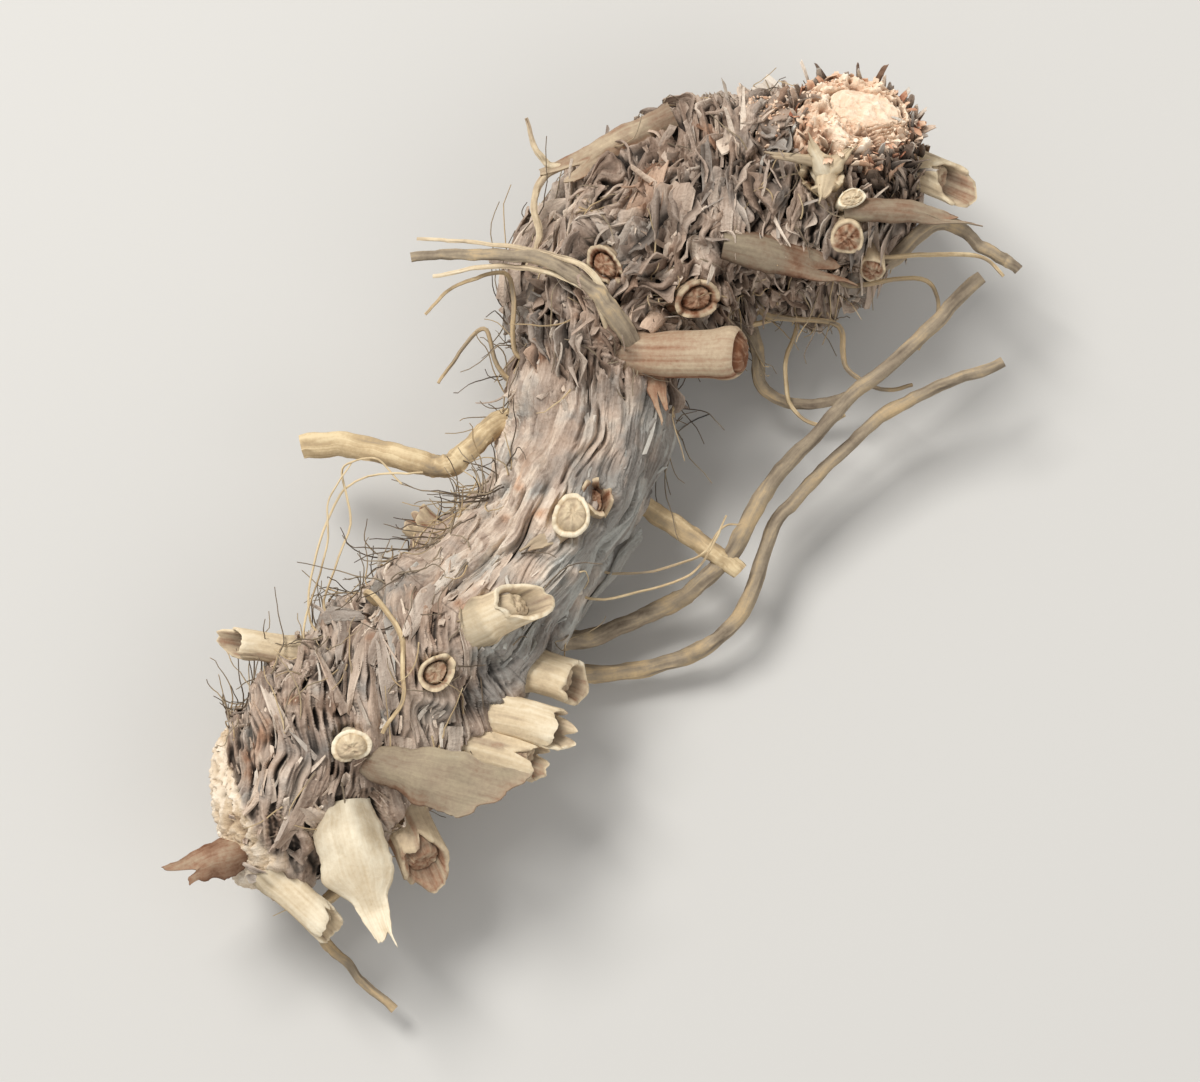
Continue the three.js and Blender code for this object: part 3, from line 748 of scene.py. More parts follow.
# Torn sheets of leaf base. Each is rooted on the bark at its foot, y = 0, and may stand up, curl and wave.
def makeFlakes(name, flakes):
    along, angle = rootPlaces(flakes)
    each = along.shape
    mesh, unit = repeatMesh(sheetTemplate(*flakes["mesh"]), len(along))
    x, y, z = np.moveaxis(unit, -1, 0)
    size = 0.65 + 0.7 * layered((along, 4 * np.cos(angle), 4 * np.sin(angle)), 2.4, 2, 31)
    wide, reach = spread(flakes["wide"], each) * size, spread(flakes["reach"], each) * size
    flip = np.where(chance.random(each) < flakes["backward"], math.pi, 0)
    heading = fibreHeading(along, angle) + flip + math.radians(flakes["turn"])
    heading = heading + np.radians(chance.normal(0, flakes["stray"], each))
    phase, pace = spread((0, 6.28), each), spread(flakes["pace"], each)
    line, side = x * wide, np.sign(x) * 4.3
    edgeNoise = layered((y * reach, 9 * phase + side, 0), 0.9, 2, 34) - 0.5
    tipNoise = layered((line, 9 * phase, 0), flakes["tooth"], 2, 35) - 0.5
    wobble = np.sin(2 * math.pi * pace * x + phase)
    underneath = smoothStep(-0.2, -0.8, np.sin(angle))
    stand = np.radians(spread(flakes["stand"], each)) * (1 - 0.6 * underneath)
    stand = stand + math.radians(flakes["ripple"]) * np.sin(2 * math.pi * pace * 0.8 * x + 2.1 * phase)
    # an arc from the foot; the small angle keeps it from being quite straight
    curl = np.radians(spread(flakes["curl"], each)) + 0.011
    run = y * (1 + 2 * flakes["fray"] * tipNoise * y) * (1 - flakes["endFade"] * np.abs(2 * x) ** 2.5)
    lean = stand + curl * run
    forward = reach * (np.sin(lean) - np.sin(stand)) / curl - np.sin(lean) * z * flakes["thick"]
    upward = reach * (np.cos(stand) - np.cos(lean)) / curl + np.cos(lean) * z * flakes["thick"]
    narrowing = 1 - flakes["taper"] * y**1.5
    across = line * narrowing * (1 + flakes["torn"] * 2 * edgeNoise)
    across = across + flakes["sway"] * reach * y * np.sin(phase)
    forward = forward + flakes["wave"] * wobble
    gutter = spread(flakes["gutter"], each)
    upward = upward + gutter * wide * (2 * x) ** 2 * (0.3 + 0.7 * y)
    upward = upward + flakes["roll"] * wide * x * y * np.sin(phase * 1.7)
    cosine, sine = np.cos(heading), np.sin(heading)
    place = np.clip(along + cosine * forward + sine * across, 0.1, bodyLength - 0.3)
    turn = angle + (sine * forward - cosine * across) / body["radius"]
    ground = gridAt(skinSmooth, place, turn) * flakes["hug"]
    ground = ground + gridAt(skinHeight, along, angle) * (1 - flakes["hug"])
    points = barkPoint(place, turn, ground - flakes["sink"] + upward)
    edge = np.abs(2 * x) ** 4
    # the painted shade along each flake: darkest at its foot on the bark, lighter towards its tip and edges
    low, high = flakes["rise"]
    grain = (line + 7 * phase, y * reach + 3 * phase, phase)
    values = {
        "tone": toneAt(along, angle) + spread(flakes["tone"], each) + 0.15 * edge + 0.12 * y,
        "rise": np.clip(low + (high - low) * np.maximum(y, 0.6 * edge), 0, 1),
        "cool": coolAt(along, angle),
        "grain": (grain[1], grain[0], phase) if flakes["grainAcross"] else grain,
    }
    finishPiece(name, mesh, points, "bark", values, 62)


# What all flakes share. Pairs are the least and the most, lengths are in millimetres and angles in degrees.
plainFlake = {
    "mesh": (3, 7),
    "along": (0.9, 41),
    "avoid": 0.9,
    "backward": 0.5,
    "turn": 0,
    "stray": 9,
    "pace": (0.5, 1.2),
    "ripple": 6,
    "thick": 0.08,
    "taper": 0.35,
    "torn": 0.4,
    "sway": 0.15,
    "wave": 0,
    "gutter": (-0.1, 0.15),
    "roll": 0.3,
    "fray": 0.3,
    "tooth": 0.35,
    "endFade": 0,
    "sink": 0.08,
    "hug": 0.8,
    # the painted shade from the foot to the tip of a flake
    "rise": (0.35, 1),
    "tone": (-0.2, 0.2),
    "grainAcross": False,
}
# Ribbons on the lobe: they stand on edge, in wavy lines up and down the picture.
lobeRibbons = plainFlake | {
    "count": 420,
    "mesh": (10, 3),
    "along": (24, 41.3),
    "wide": (0.9, 2.4),
    "reach": (0.3, 0.7),
    "turn": 90,
    "stand": (30, 100),
    "curl": (-80, 80),
    "pace": (0.4, 1.2),
    "ripple": 28,
    "wave": 0.14,
    "gutter": (0, 0),
    "taper": 0.1,
    "torn": 0,
    "fray": 0.45,
    "endFade": 0.85,
    "hug": 0.5,
    "thick": 0.07,
    "rise": (0.1, 1),
    "grainAcross": True,
}
# Sheets that lie close on both ends, with torn outlines and lifted edges.
lobeSheets = plainFlake | {
    "count": 120,
    "along": (25.5, 41),
    "wide": (0.4, 1.3),
    "reach": (0.9, 2.6),
    "stand": (0, 14),
    "curl": (-10, 34),
    "gutter": (-0.15, 0.3),
    "roll": 0.5,
    "rise": (0.4, 1),
}
bodySheets = lobeSheets | {
    "count": 75,
    "mesh": (4, 12),
    "along": (2.5, 15.5),
    "wide": (0.3, 0.9),
    "reach": (1.4, 3.4),
    "taper": 0.6,
    "stand": (-1, 4),
    "curl": (-4, 14),
    "gutter": (-0.1, 0.02),
    "roll": 0.2,
    "ripple": 3,
    "sink": 0,
    "hug": 1,
    "rise": (0.5, 0.95),
    "tone": (-0.12, 0.1),
}
# Narrow torn shreds, thickest at the neck and on the lobe.
neckShreds = plainFlake | {
    "count": 460,
    "mesh": (1, 7),
    "along": (23.4, 41.3),
    "wide": (0.07, 0.2),
    "reach": (0.6, 1.9),
    "stand": (1, 36),
    "curl": (-90, 70),
    "thick": 0.06,
    "stray": 22,
    "sway": 0.35,
    "taper": 0.6,
    "hug": 0.7,
    "tone": (-0.15, 0.22),
}
bodyShreds = neckShreds | {
    "count": 330,
    "along": (2, 16),
    "reach": (0.5, 1.5),
    "stand": (0, 13),
    "curl": (-40, 40),
    "hug": 1,
}
# Small chips everywhere, which break up the larger sheets.
barkChips = plainFlake | {
    "count": 800,
    "mesh": (2, 3),
    "wide": (0.1, 0.32),
    "reach": (0.25, 0.7),
    "stand": (1, 18),
    "curl": (-20, 50),
    "thick": 0.06,
    "stray": 16,
    "hug": 1,
}


def standingFrames(feet, toward):
    # the source's way of standing a part on its place: y along the part, and x level
    y = unitRows(np.asarray(toward, float))
    x = unitRows(np.cross(y, (0, 0, 1)))
    z = np.cross(x, y)
    return np.asarray(feet)[:, None, :], x[:, None, :], y[:, None, :], z[:, None, :]


def tableColumns(rows, *wanted):
    return (np.array([r[i] for r in rows])[:, None] for i in wanted)


def makeStalks():
    rim = 0.5 - stalks["wall"]
    outside = [(0, -0.3), (0.46, -0.3)] + [(0.5, h) for h in np.linspace(0, 1, 16)]
    hollowWall = [(rim, 1.0), (rim - 0.02, 0.93), (rim - 0.03, 0.8), (rim - 0.05, 0.68), (rim - 0.1, 0.61)]
    bottom = [(r, 0.58) for r in np.linspace(0.23, 0, 9)]
    profile = outside + [(0.5 - stalks["wall"] / 2, 1.03)] + hollowWall + bottom
    rows = stalks["list"]
    mesh, unit = repeatMesh(spunTemplate(profile, stalks["sides"]), len(rows))
    along, around, length, wide, thick, tone = tableColumns(rows, 0, 1, 3, 4, 5, 6)
    hollow, slant, fray = tableColumns(rows, 7, 8, 9)
    h, radius = unit[..., 2], np.hypot(unit[..., 0], unit[..., 1])
    turn = np.arctan2(unit[..., 1], unit[..., 0])
    phases = spread((0, 2 * math.pi), (5, len(rows), 1))
    seed = np.arange(len(rows))[:, None] * 7.7
    inner = (radius < rim + 0.005) & (h > 0.5)
    u, v = np.cos(turn), np.sin(turn)
    strands = ridged(noiseAt((2.3 * u, 2.3 * v, seed + 0.5 * h), 0.3, 41)) - 0.5
    streaks = layered((1.5 * u, 1.5 * v, seed + 0.4 * h), 0.55, 3, 45)
    shape = 1 + stalks["keel"] * np.cos(2 * (turn - phases[0]))
    shape = shape + 0.6 * stalks["keel"] * np.cos(3 * (turn - phases[1]))
    knob = 0.1 * np.exp(-(((h - 0.9) / 0.09) ** 2)) - 0.26 * smoothStep(0.4, -0.05, h)
    shape = shape + knob * (hollow <= -0.3) + stalks["ridge"] * (0.4 + 1.2 * fray) * strands
    shape = shape + 0.14 * smoothStep(0.22, 0, h) - 0.05 * np.sin(3.1 * h)
    pith = layered((1.6 * unit[..., 0], 1.6 * unit[..., 1], seed), 0.16, 3, 43) - 0.5
    torn = layered((u, v, seed), 0.8, 4, 42) - 0.5
    gap = 0.1 + 0.06 * fray
    splits = sum(np.exp(-(((turn - p + math.pi) % (2 * math.pi) - math.pi) / gap) ** 2) for p in phases[1:4])
    top = smoothStep(0.45, 1.0, h)
    height = np.where(h < 0, h / 0.3 * stalks["sink"], h * length)
    depth = np.clip((1 - h) / 0.42, 0, 1) * inner
    groove = inner * (hollow > 0) * np.exp(-(((radius - rim + 0.045) / 0.028) ** 2))
    height = np.where(inner, length - depth * hollow + 0.25 * depth * pith - 0.25 * groove, height)
    rag = fray * stalks["rag"] * 2.4 * torn + slant * wide * 0.5 * np.sin(turn + 0.15 * (phases[4] - 3))
    height = height + top * (rag - fray * stalks["notch"] * splits * (hollow > 0) * ~(depth > 0.4))
    sway = 0.06 * length * np.clip(h, 0, 1) ** 2
    feet = barkPoint(along[:, 0], np.radians(around[:, 0]), -0.1)
    feet, x, y, z = standingFrames(feet, [row[2] for row in rows])
    across = radius * shape * u * wide + sway * np.cos(phases[0])
    deep = -radius * shape * v * thick + sway * np.sin(phases[0])
    outer = 0.12 * top - 0.3 * smoothStep(0.55, 0.72, streaks)
    # painted shade: darker at the foot, down the hollow, in the groove round it and between the strands
    rise = 0.5 + 0.5 * smoothStep(0, 0.25, h) - 0.3 * hollow * depth - 0.6 * groove + 0.4 * strands
    values = {
        "tone": tone + 0.14 * strands + outer * ~inner + (0.6 * pith - 0.24) * inner,
        "rise": np.clip(rise, 0, 1),
        "grain": (turn * wide / 2 + 9 * seed, height, seed),
    }
    finishPiece("brokenStalks", mesh, offset(feet, (across, x), (height, y), (deep, z)), "stalk", values, 70)


def makeLeafBases():
    rows = leafBases["list"]
    mesh, unit = repeatMesh(sheetTemplate(*leafBases["mesh"]), len(rows))
    along, around, length, wide, thick, tone = tableColumns(rows, 0, 1, 3, 4, 5, 6)
    fork, arch, off, grey, slant = tableColumns(rows, 8, 9, 10, 11, 12)
    x, y, z = np.moveaxis(unit, -1, 0)
    seed = np.arange(len(rows))[:, None] * 5.3
    rag = layered((3 * x, seed, 0), 0.9, 4, 51) - 0.5
    tipOutline = leafBases["tipRagged"] * rag + slant * x - fork * np.exp(-((x / 0.14) ** 2))
    reach = y * (1 + smoothStep(0.5, 1, y) * tipOutline)
    # the shares of the width, eased from each of the five stops to the next
    quarters = 4 * np.clip(reach, 0, 1)
    eased = (np.floor(quarters) + smoothStep(0, 1, quarters % 1)) / 4
    stops = np.linspace(0, 1, 5)
    shares = np.stack([np.interp(run, stops, row[7]) for run, row in zip(eased, rows)])
    ripple = layered((seed + np.sign(x), 6 * y, 0), 0.8, 4, 52) - 0.5
    width = wide * shares * (1 + leafBases["ragged"] * ripple)
    bow = (1 - (2 * x) ** 2) * np.sin(math.pi * np.clip(reach + 0.2, 0, 1))
    strands = ridged(noiseAt((x * wide, 0.15 * y * length, seed), 0.16, 53)) - 0.5
    waves = layered((x * wide, 0.5 * y * length, seed), 1.4, 2, 55) - 0.5
    height = z * thick * (1 - 0.5 * y) + arch * wide * bow + 0.05 * strands * (z > 0) + 0.35 * waves
    forward = reach * (length + leafBases["sink"]) - leafBases["sink"]
    feet = barkPoint(along[:, 0], np.radians(around[:, 0]), off[:, 0])
    feet, aside, ahead, upright = standingFrames(feet, [row[2] for row in rows])
    side = x * width + 0.18 * length * y**2 * np.sin(seed)
    points = offset(feet, (side, aside), (forward, ahead), (height, upright))
    edge = np.abs(2 * x) ** 8
    spots = layered((x * wide, y * length, seed), 0.7, 4, 56) - 0.5
    values = {
        "tone": tone + 0.1 * strands - 0.1 * edge + 0.4 * waves + 0.5 * spots - 0.06 * smoothStep(0.92, 1, y),
        # painted shade: darker at the foot and on the underside; the spots mottle it too
        "rise": np.clip(0.6 + 0.5 * y - 0.3 * (z < 0) + 0.4 * spots, 0, 1),
        "cool": np.clip(grey * (1 + 1.2 * spots - smoothStep(0.9, 1.1, y + 0.1 * rag)), 0, 1),
        "grain": (x * wide + seed, y * length, seed),
    }
    finishPiece("leafBases", mesh, points, "stalk", values, 60)


# Tubes along paths, each path a row of points in a count x points x 3 array.
def layTubes(name, tubes, paths, slotName):
    count, steps = paths.shape[:2]
    mesh, unit = repeatMesh(tubeTemplate(tubes["sides"], tubes["rings"]), count)
    share = unit[..., 2] * (steps - 1)
    first = np.clip(share.astype(int), 0, steps - 2)
    row = np.arange(count)[:, None]
    w = (share - first)[..., None]
    forward = unitRows(np.gradient(paths, axis=1))
    # upright paths are set square to x and the others to z
    apart = np.where(np.abs(forward[:, :, 2]).mean(1, keepdims=True) > 0.7, 1.0, 0.0)
    side = unitRows(np.cross(forward, together((apart, 0, 1 - apart))))
    centre, side, ahead = (v[row, first] * (1 - w) + v[row, first + 1] * w for v in (paths, side, forward))
    side = unitRows(side)
    over = np.cross(side, unitRows(ahead))
    turn = np.arctan2(unit[..., 1], unit[..., 0])
    lengths = np.linalg.norm(np.diff(paths, axis=1), axis=2).sum(1)[:, None]
    seed = 3.7 * row
    walk = unit[..., 2] * lengths
    size = tubes["foot"] + (tubes["tip"] - tubes["foot"]) * unit[..., 2]
    size = size * (1 + tubes.get("flare", 0) * np.exp(-walk / 0.8))
    twist = turn + 0.25 * walk
    groove = ridged(noiseAt((1.7 * np.cos(twist), 1.7 * np.sin(twist), seed + 0.3 * walk), 0.5, 61)) - 0.5
    knots = layered((walk, seed, 0), 1.3, 4, 62) - 0.5
    ringed = layered((walk, seed, 0.4 * np.sin(turn)), 0.28, 2, 64) - 0.5
    size = size * (1 + tubes["groove"] * groove + tubes["knots"] * knots + 0.5 * tubes["knots"] * ringed)
    across, upward = size * np.cos(turn), size * tubes.get("flat", 1.0) * np.sin(turn)
    values = {
        "tone": tubes["tone"] + 0.3 * groove + 0.5 * knots + 0.2 * ringed,
        # painted shade in the grooves and between the rings
        "rise": np.clip(0.75 + 0.7 * groove + 0.5 * ringed, 0, 1),
        "grain": (turn * size + seed, walk, seed),
    }
    finishPiece(name, mesh, offset(centre, (across, side), (upward, over)), slotName, values, 50)


def wander(paths, amount, size, seed):
    # a dry root's small kinks, none at its foot
    ramp = np.linspace(0, 1, paths.shape[1])[None, :, None] ** 0.5
    rows = np.arange(len(paths))[:, None] * 11.7
    steps = np.linalg.norm(np.diff(paths, axis=1), axis=2).cumsum(1)
    walk = np.concatenate([np.zeros((len(paths), 1)), steps], 1)
    shift = [layered((walk, rows, k), size, 3, seed + k) - 0.5 for k in range(3)]
    return paths + amount * ramp * 2 * np.stack(shift, -1)


# Wiry roots: along and round the body, the points passed, the radius at foot and tip, tone and flatness.
wiryRoots = {
    "list": [
        (15, -28, [(2.6, -4.7, 1.7), (5.3, -3, 2.7), (8.2, 1, 3.8), (12, 4.7, 4.7), (16.4, 8.7, 5.6)],
         0.4, 0.26, 0.45, 1),
        (13.4, -30, [(2.4, -6.8, 1.2), (6, -5.3, 2), (8.7, -0.2, 3), (12.8, 3.6, 3.7), (17.3, 5.5, 4.4)],
         0.38, 0.22, 0.5, 1),
        (21.7, 176, [(-4, 2.3, 4.3), (-4.9, 1.35, 4.4), (-5.3, 1, 4.4), (-6, 1.05, 4.4), (-8.4, 1.75, 4.3),
                     (-11.4, 2.1, 4.2)], 0.4, 0.46, 0.72, 0.75),
        (25.3, 64, [(1.3, 6.6, 8.1), (0.4, 7.6, 8.2), (-1.2, 8.5, 8.1), (-4, 9.1, 7.6), (-6.9, 9, 7.2)],
         0.42, 0.18, 0.42, 0.6),
        (40.2, 24, [(14.9, 11.1, 5.2), (16.6, 10.1, 5.1), (18, 9.2, 5)], 0.34, 0.22, 0.45, 1),
        (20.4, -14, [(4.9, -1.9, 3), (6.3, -3.1, 2.9)], 0.46, 0.36, 0.85, 0.8),
        (3, -12, [(-10.9, -17.2, 2.3), (-9.6, -18.7, 1.9), (-7.5, -20.6, 1.4)], 0.27, 0.16, 0.6, 1),
        (33.6, -20, [(7.3, 6.6, 2.6), (7.6, 5, 2.2), (9.4, 4.2, 2), (11.3, 4.7, 2)], 0.32, 0.2, 0.45, 0.7),
    ],
    "sides": 14,
    "rings": 90,
    "groove": 0.34,
    "knots": 0.4,
    "flare": 0.35,
    "kinks": [(0.35, 2.4), (0.16, 0.8)],
    "steps": 70,
}
# Thin rootlets that lie over the bark or hang off it, given like the roots.
rootlets = {
    "list": [
        (10.6, 141, [(-8.1, -4.9, 7.3),
         (-7.2, -6.4, 7.9), (-6.9, -7.8, 8.1), (-7, -9.3, 8.1), (-7.7, -10.5, 7.8)],
         0.13, 0.08, 0.8, 1),
        (31, -8, [(8.9, 7.6, 3.2), (8.4, 5.8, 2.6), (8.9, 3.9, 2.4), (10, 3.2, 2.6), (10.8, 3.5, 3)],
         0.12, 0.07, 0.7, 1),
        (34.5, 0, [(10.6, 7, 4.2), (10.9, 5.4, 3.8), (12.3, 4.4, 3.7), (13.6, 4.6, 3.7)], 0.14, 0.08, 0.6, 1),
        (38.6, 12, [(14.2, 8.8, 4.8), (14.6, 7.2, 4.5), (13.9, 6, 4.2)], 0.12, 0.06, 0.6, 1),
        (39.4, 36, [(14.9, 9.5, 6.2), (16.3, 9.2, 6.4), (17.1, 8.5, 6.3)], 0.12, 0.07, 0.75, 1),
        (24.6, 150, [(-3, 8.6, 6.5), (-4.8, 8.2, 6.2), (-6.4, 6.9, 6)], 0.13, 0.06, 0.75, 1),
        (24, 168, [(-4, 6.7, 5), (-5.3, 5.2, 4.9), (-5.8, 4.3, 4.9)], 0.12, 0.06, 0.6, 1),
        (9, 160, [(-9.3, -1.6, 5.6), (-9.5, 0.4, 6.3), (-8.3, 0.9, 6.6), (-7.2, -0.2, 6.4)],
         0.05, 0.04, 0.9, 1),
        (8.2, 165, [(-10.4, -1.8, 5.2), (-9.4, -0.2, 5.9), (-7.8, 0.3, 6.5), (-6.4, 0.2, 6.6)],
         0.05, 0.04, 0.9, 1),
        (7.4, 160, [(-10.2, -2.6, 5.6), (-10.2, -0.8, 6.1), (-9.2, 0.8, 6.4)], 0.05, 0.03, 0.85, 1),
        (16.5, 8, [(4.4, -3.5, 4.6), (5.4, -2.2, 5.2), (5.9, -1.2, 5.6)], 0.06, 0.04, 0.8, 1),
        (17.5, 2, [(4.9, -2.6, 4.2), (5.8, -1.5, 4.4), (6.5, -1.4, 4.6)], 0.06, 0.04, 0.7, 1),
    ],
    "sides": 7,
    "rings": 40,
    "groove": 0.15,
    "knots": 0.35,
    "kinks": [(0.2, 1.2)],
    "steps": 70,
}
# Torn strands of stalk, given like the roots: the ends of the splinter at the elbow, and the bundle below it.
elbowStrands = {
    "list": [
        (32.4, 150, [(0.8, 14, 6.5), (-1.3, 13.2, 6.4), (-1.9, 13.9, 6.8), (-2.3, 15, 7.1)],
         0.24, 0.07, 0.5, 0.6),
        (32, 152, [(0.6, 13.8, 6.2), (-1.4, 12.9, 6.2), (-1.9, 11.7, 6), (-1.7, 10.3, 5.9), (-2.2, 9, 5.6)],
         0.2, 0.1, 0.45, 0.6),
        (25.6, 80, [(0.4, 7.3, 8.2), (-1, 8.1, 8), (-3.6, 8.6, 7.5), (-6, 8.3, 7.1)], 0.17, 0.07, 0.55, 0.5),
        (26.2, 78, [(0.5, 8, 8.4), (-1.4, 8.9, 8.1), (-4.2, 9.5, 7.8), (-6.6, 9.7, 7.5)],
         0.15, 0.06, 0.5, 0.5),
    ],
    "sides": 16,
    "rings": 70,
    "groove": 0.5,
    "knots": 0.25,
    "kinks": [(0.14, 0.9)],
    "steps": 70,
}


def makeStrands(name, tubes, slotName):
    rows = tubes["list"]
    share = np.linspace(0, 1, tubes["steps"])
    paths = []
    for along, around, points, *_ in rows:
        roots = [barkPoint(along, math.radians(around), out) for out in (-1.0, 0.2)]
        paths.append(smoothCurve(np.array([*roots, *points]), share))
    paths = np.array(paths)
    for amount, size in tubes["kinks"]:
        paths = wander(paths, amount, size, 71)
    foot, tip, tone, flat = tableColumns(rows, 3, 4, 5, 6)
    layTubes(name, tubes | {"foot": foot, "tip": tip, "tone": tone, "flat": flat}, paths, slotName)


# Fine hairs and torn fibres that lie over the bark. Each patch of them has its reach along and round the
# body, and their number.
fineHairs = {
    "patches": [((23, 41), (-0.7, 3.8), 170), ((1.5, 17), (-0.7, 3.8), 110)],
    "sides": 4,
    "rings": 9,
    "length": (0.8, 3),
    "foot": 0.035,
    "tip": 0.018,
    "groove": 0,
    "knots": 0.2,
    "lift": (0.05, 0.8),
    "curl": 1.1,
    "kink": (0.2, 0.8),
    "steps": 14,
    "tone": (0.1, 0.9),
}
# Longer ones that stand off both flanks in tangles.
looseHairs = fineHairs | {
    "patches": [
        ((10, 19), (2.3, 3.3), 75),
        ((1.5, 9), (2.5, 3.3), 30),
        ((22, 27), (-0.5, 0.3), 25),
        ((22, 28), (2.8, 3.5), 25),
        ((29, 38), (-0.6, 0.2), 50),
    ],
    "length": (1.2, 3.6),
    "rings": 12,
    "lift": (0.5, 1.5),
    "curl": 2,
    "tone": (0, 0.7),
}


def makeHairs(name, hairs):
    patches = hairs["patches"]
    along, angle = (np.concatenate([spread(row[k], (row[2], 1)) for row in patches]) for k in (0, 1))
    each = along.shape
    share = np.linspace(0, 1, hairs["steps"])[None, :]
    length = spread(hairs["length"], each)
    heading = fibreHeading(along, angle) + chance.normal(0, 0.7, each)
    heading = heading + math.pi * (chance.random(each) < 0.5)
    heading = heading + hairs["curl"] * chance.normal(size=each) * share
    step = length / share.shape[1]
    ahead, aside = np.cumsum(np.cos(heading) * step, 1), np.cumsum(np.sin(heading) * step, 1)
    lift = spread(hairs["lift"], each) * share**1.5 * length * 0.6
    place, turn = np.clip(along + ahead, 0.4, bodyLength - 0.6), angle + aside / body["radius"]
    paths = barkPoint(place, turn, gridAt(skinSmooth, place, turn) + 0.1 + lift)
    tones = {"tone": spread(hairs["tone"], each)}
    layTubes(name, hairs | tones, wander(paths, *hairs["kink"], 81), "root")


# The broken stem on the crown, in torn sheaths of its own. Places on its face are in millimetres to the right
# and up the picture: an oval disc, thin edges one behind another at its right, and crumbs and hollows
# elsewhere.
crown = {
    "from": (10.7, 13, 5.4),
    "toward": (0.1, 0.38, 1),
    "flat": 0.86,
    "radius": 2.5,
    "height": 4.2,
    "columns": 204,
    "wallRows": 14,
    "faceRows": 86,
    "disc": (0.2, 0.35, 1.5, 1),
    "ringWidth": 0.24,
    "holes": [(1.5, 1.15, 0.2, 0.35), (0.55, -2.35, 0.4, 1.4), (2.6, 1, 0.16, 0.8), (-1.7, 0.1, 0.2, 0.5)],
    "crumbs": 380,
    "barkCrumbs": {"count": 90, "along": (36.4, 0.45), "angle": (2.2, 0.13)},
    "crumbSize": (0.04, 0.11),
}
# Its torn sheaths: pairs are the least and the most. The distance from the middle and the drop below the face
# grow from the innermost to the outermost.
innerSheaths = {
    "count": 150,
    "mesh": (5, 5),
    "turn": (0, 6.28),
    "radius": (1.85, 2.6),
    "drop": (0.25, 0.8),
    "wide": (0.08, 0.4),
    "reach": (0.2, 0.6),
    "tilt": (-25, 35),
    "curl": (-70, 70),
    "twist": 22,
    "tone": (0.15, 0.9),
}
outerSheaths = innerSheaths | {
    "count": 520,
    "mesh": (4, 4),
    "turn": (-1.5, 3.6),
    "radius": (2.3, 3.4),
    "drop": (0.6, 3.6),
    "wide": (0.08, 0.4),
    "reach": (0.4, 1.25),
    "tilt": (-20, 32),
    "curl": (-110, 25),
    "twist": 35,
    "tone": (0.15, 0.95),
}


def stemPoint(turn, radius, height):
    foot, x, y, z = (v[0] for v in standingFrames([crown["from"]], [crown["toward"]]))
    across, deep = radius * np.cos(turn), -radius * crown["flat"] * np.sin(turn)
    return offset(foot, (across, x), (deep, z), (height, y))


def crownFace(turn, radius):
    # height, tone and painted shade of the torn face
    u, v = radius * np.cos(turn), radius * np.sin(turn)
    where = (u, v, 0)
    right, up, wide, tall = crown["disc"]
    warp = layered(where, 0.9, 2, 90) - 0.5
    frayed = layered(where, 0.35, 3, 96) - 0.5
    oval = np.hypot((u - right) / wide, (v - up) / tall) + 0.2 * warp + 0.22 * frayed
    onDisc = smoothStep(1.04, 0.92, oval)
    aside = np.abs(np.arctan2(v - up, u - right) + 0.1)
    beside = smoothStep(1.5, 0.9, aside + warp) * (1 - onDisc)
    rings = 0.5 + 0.5 * np.cos(2 * math.pi * (oval - 1.0) * wide / crown["ringWidth"] + 2.5 * warp)
    crumbs = layered(where, 0.38, 3, 91) - 0.5
    grains = (1 - 0.6 * onDisc) * (ridged(noiseAt(where, 0.2, 94)) - 0.5)
    hollows = smoothStep(0.58, 0.68, layered(where, 0.7, 2, 95)) * (1 - onDisc) * (1 - beside)
    shade = sum(deep * smoothStep(r, 0.5 * r, np.hypot(u - x, v - y)) for x, y, r, deep in crown["holes"])
    rough = (1 - onDisc) * (1 - beside)
    gap = np.exp(-(((oval - 1.0) / 0.035) ** 2)) * smoothStep(0.1, 0.3, np.abs(warp) + 0.12)
    height = crown["height"] + onDisc * (0.2 * (1 - oval**2) + 0.35 * frayed)
    height = height + 1.1 * rough * crumbs + 0.1 * grains
    height = height + beside * (0.34 * (rings - 0.6) - 0.15 * (oval - 1)) - 0.5 * hollows - shade
    height = height - 0.3 * gap - 0.9 * smoothStep(0.8, 1.0, radius / crown["radius"])
    # its tone is lower in the hollows, the holes and between the thin edges, partly their own colour and
    # partly painted shade
    tone = 0.74 + 0.12 * grains + 0.5 * onDisc * frayed - 0.1 * rough + 0.9 * rough * crumbs
    tone = tone + beside * (0.1 - 0.5 * (1 - rings)) - 0.35 * hollows - 0.3 * shade
    # painted shade: darker in the hollows, the holes, the gap round the disc and between the thin edges,
    # lighter on the grains of the disc
    rise = 0.9 + 0.5 * grains * onDisc + rough * (1.5 * crumbs - 0.1)
    rise = rise - 0.75 * beside * (1 - rings) - 0.7 * gap - 0.6 * hollows - shade
    return height, tone, np.clip(rise, 0, 1)


def makeCrown():
    rows = crown["wallRows"] + crown["faceRows"]
    mesh, unit = repeatMesh(sleeveTemplate(crown["columns"], rows, [rows]), 1)
    turn, row = np.arctan2(unit[0, :, 1], unit[0, :, 0]), unit[0, :, 2]
    inward = np.clip((row - crown["wallRows"]) / crown["faceRows"], 0, 1)
    radius = crown["radius"] * (1 - inward) * (1 + 0.04 * np.sin(3 * turn + 1) + 0.03 * np.sin(7 * turn))
    height, tone, rise = crownFace(turn, radius)
    up = np.clip(row / crown["wallRows"], 0, 1)
    strands = ridged(noiseAt((6 * np.cos(turn), 6 * np.sin(turn), 0.4 * up), 0.5, 93)) - 0.5
    radius = radius + 0.2 * strands * smoothStep(0, 0.1, up) * (up < 1)
    # the wall's painted shade darkens the furrows between its strands
    values = {
        "tone": np.where(up < 1, 0.3 + 0.3 * strands, tone),
        "rise": np.where(up < 1, 0.5 + 0.5 * strands, rise),
        "grain": (turn * radius, radius, height * up),
    }
    finishPiece("crownStump", mesh, stemPoint(turn, radius, height * up), "flesh", values, 70)


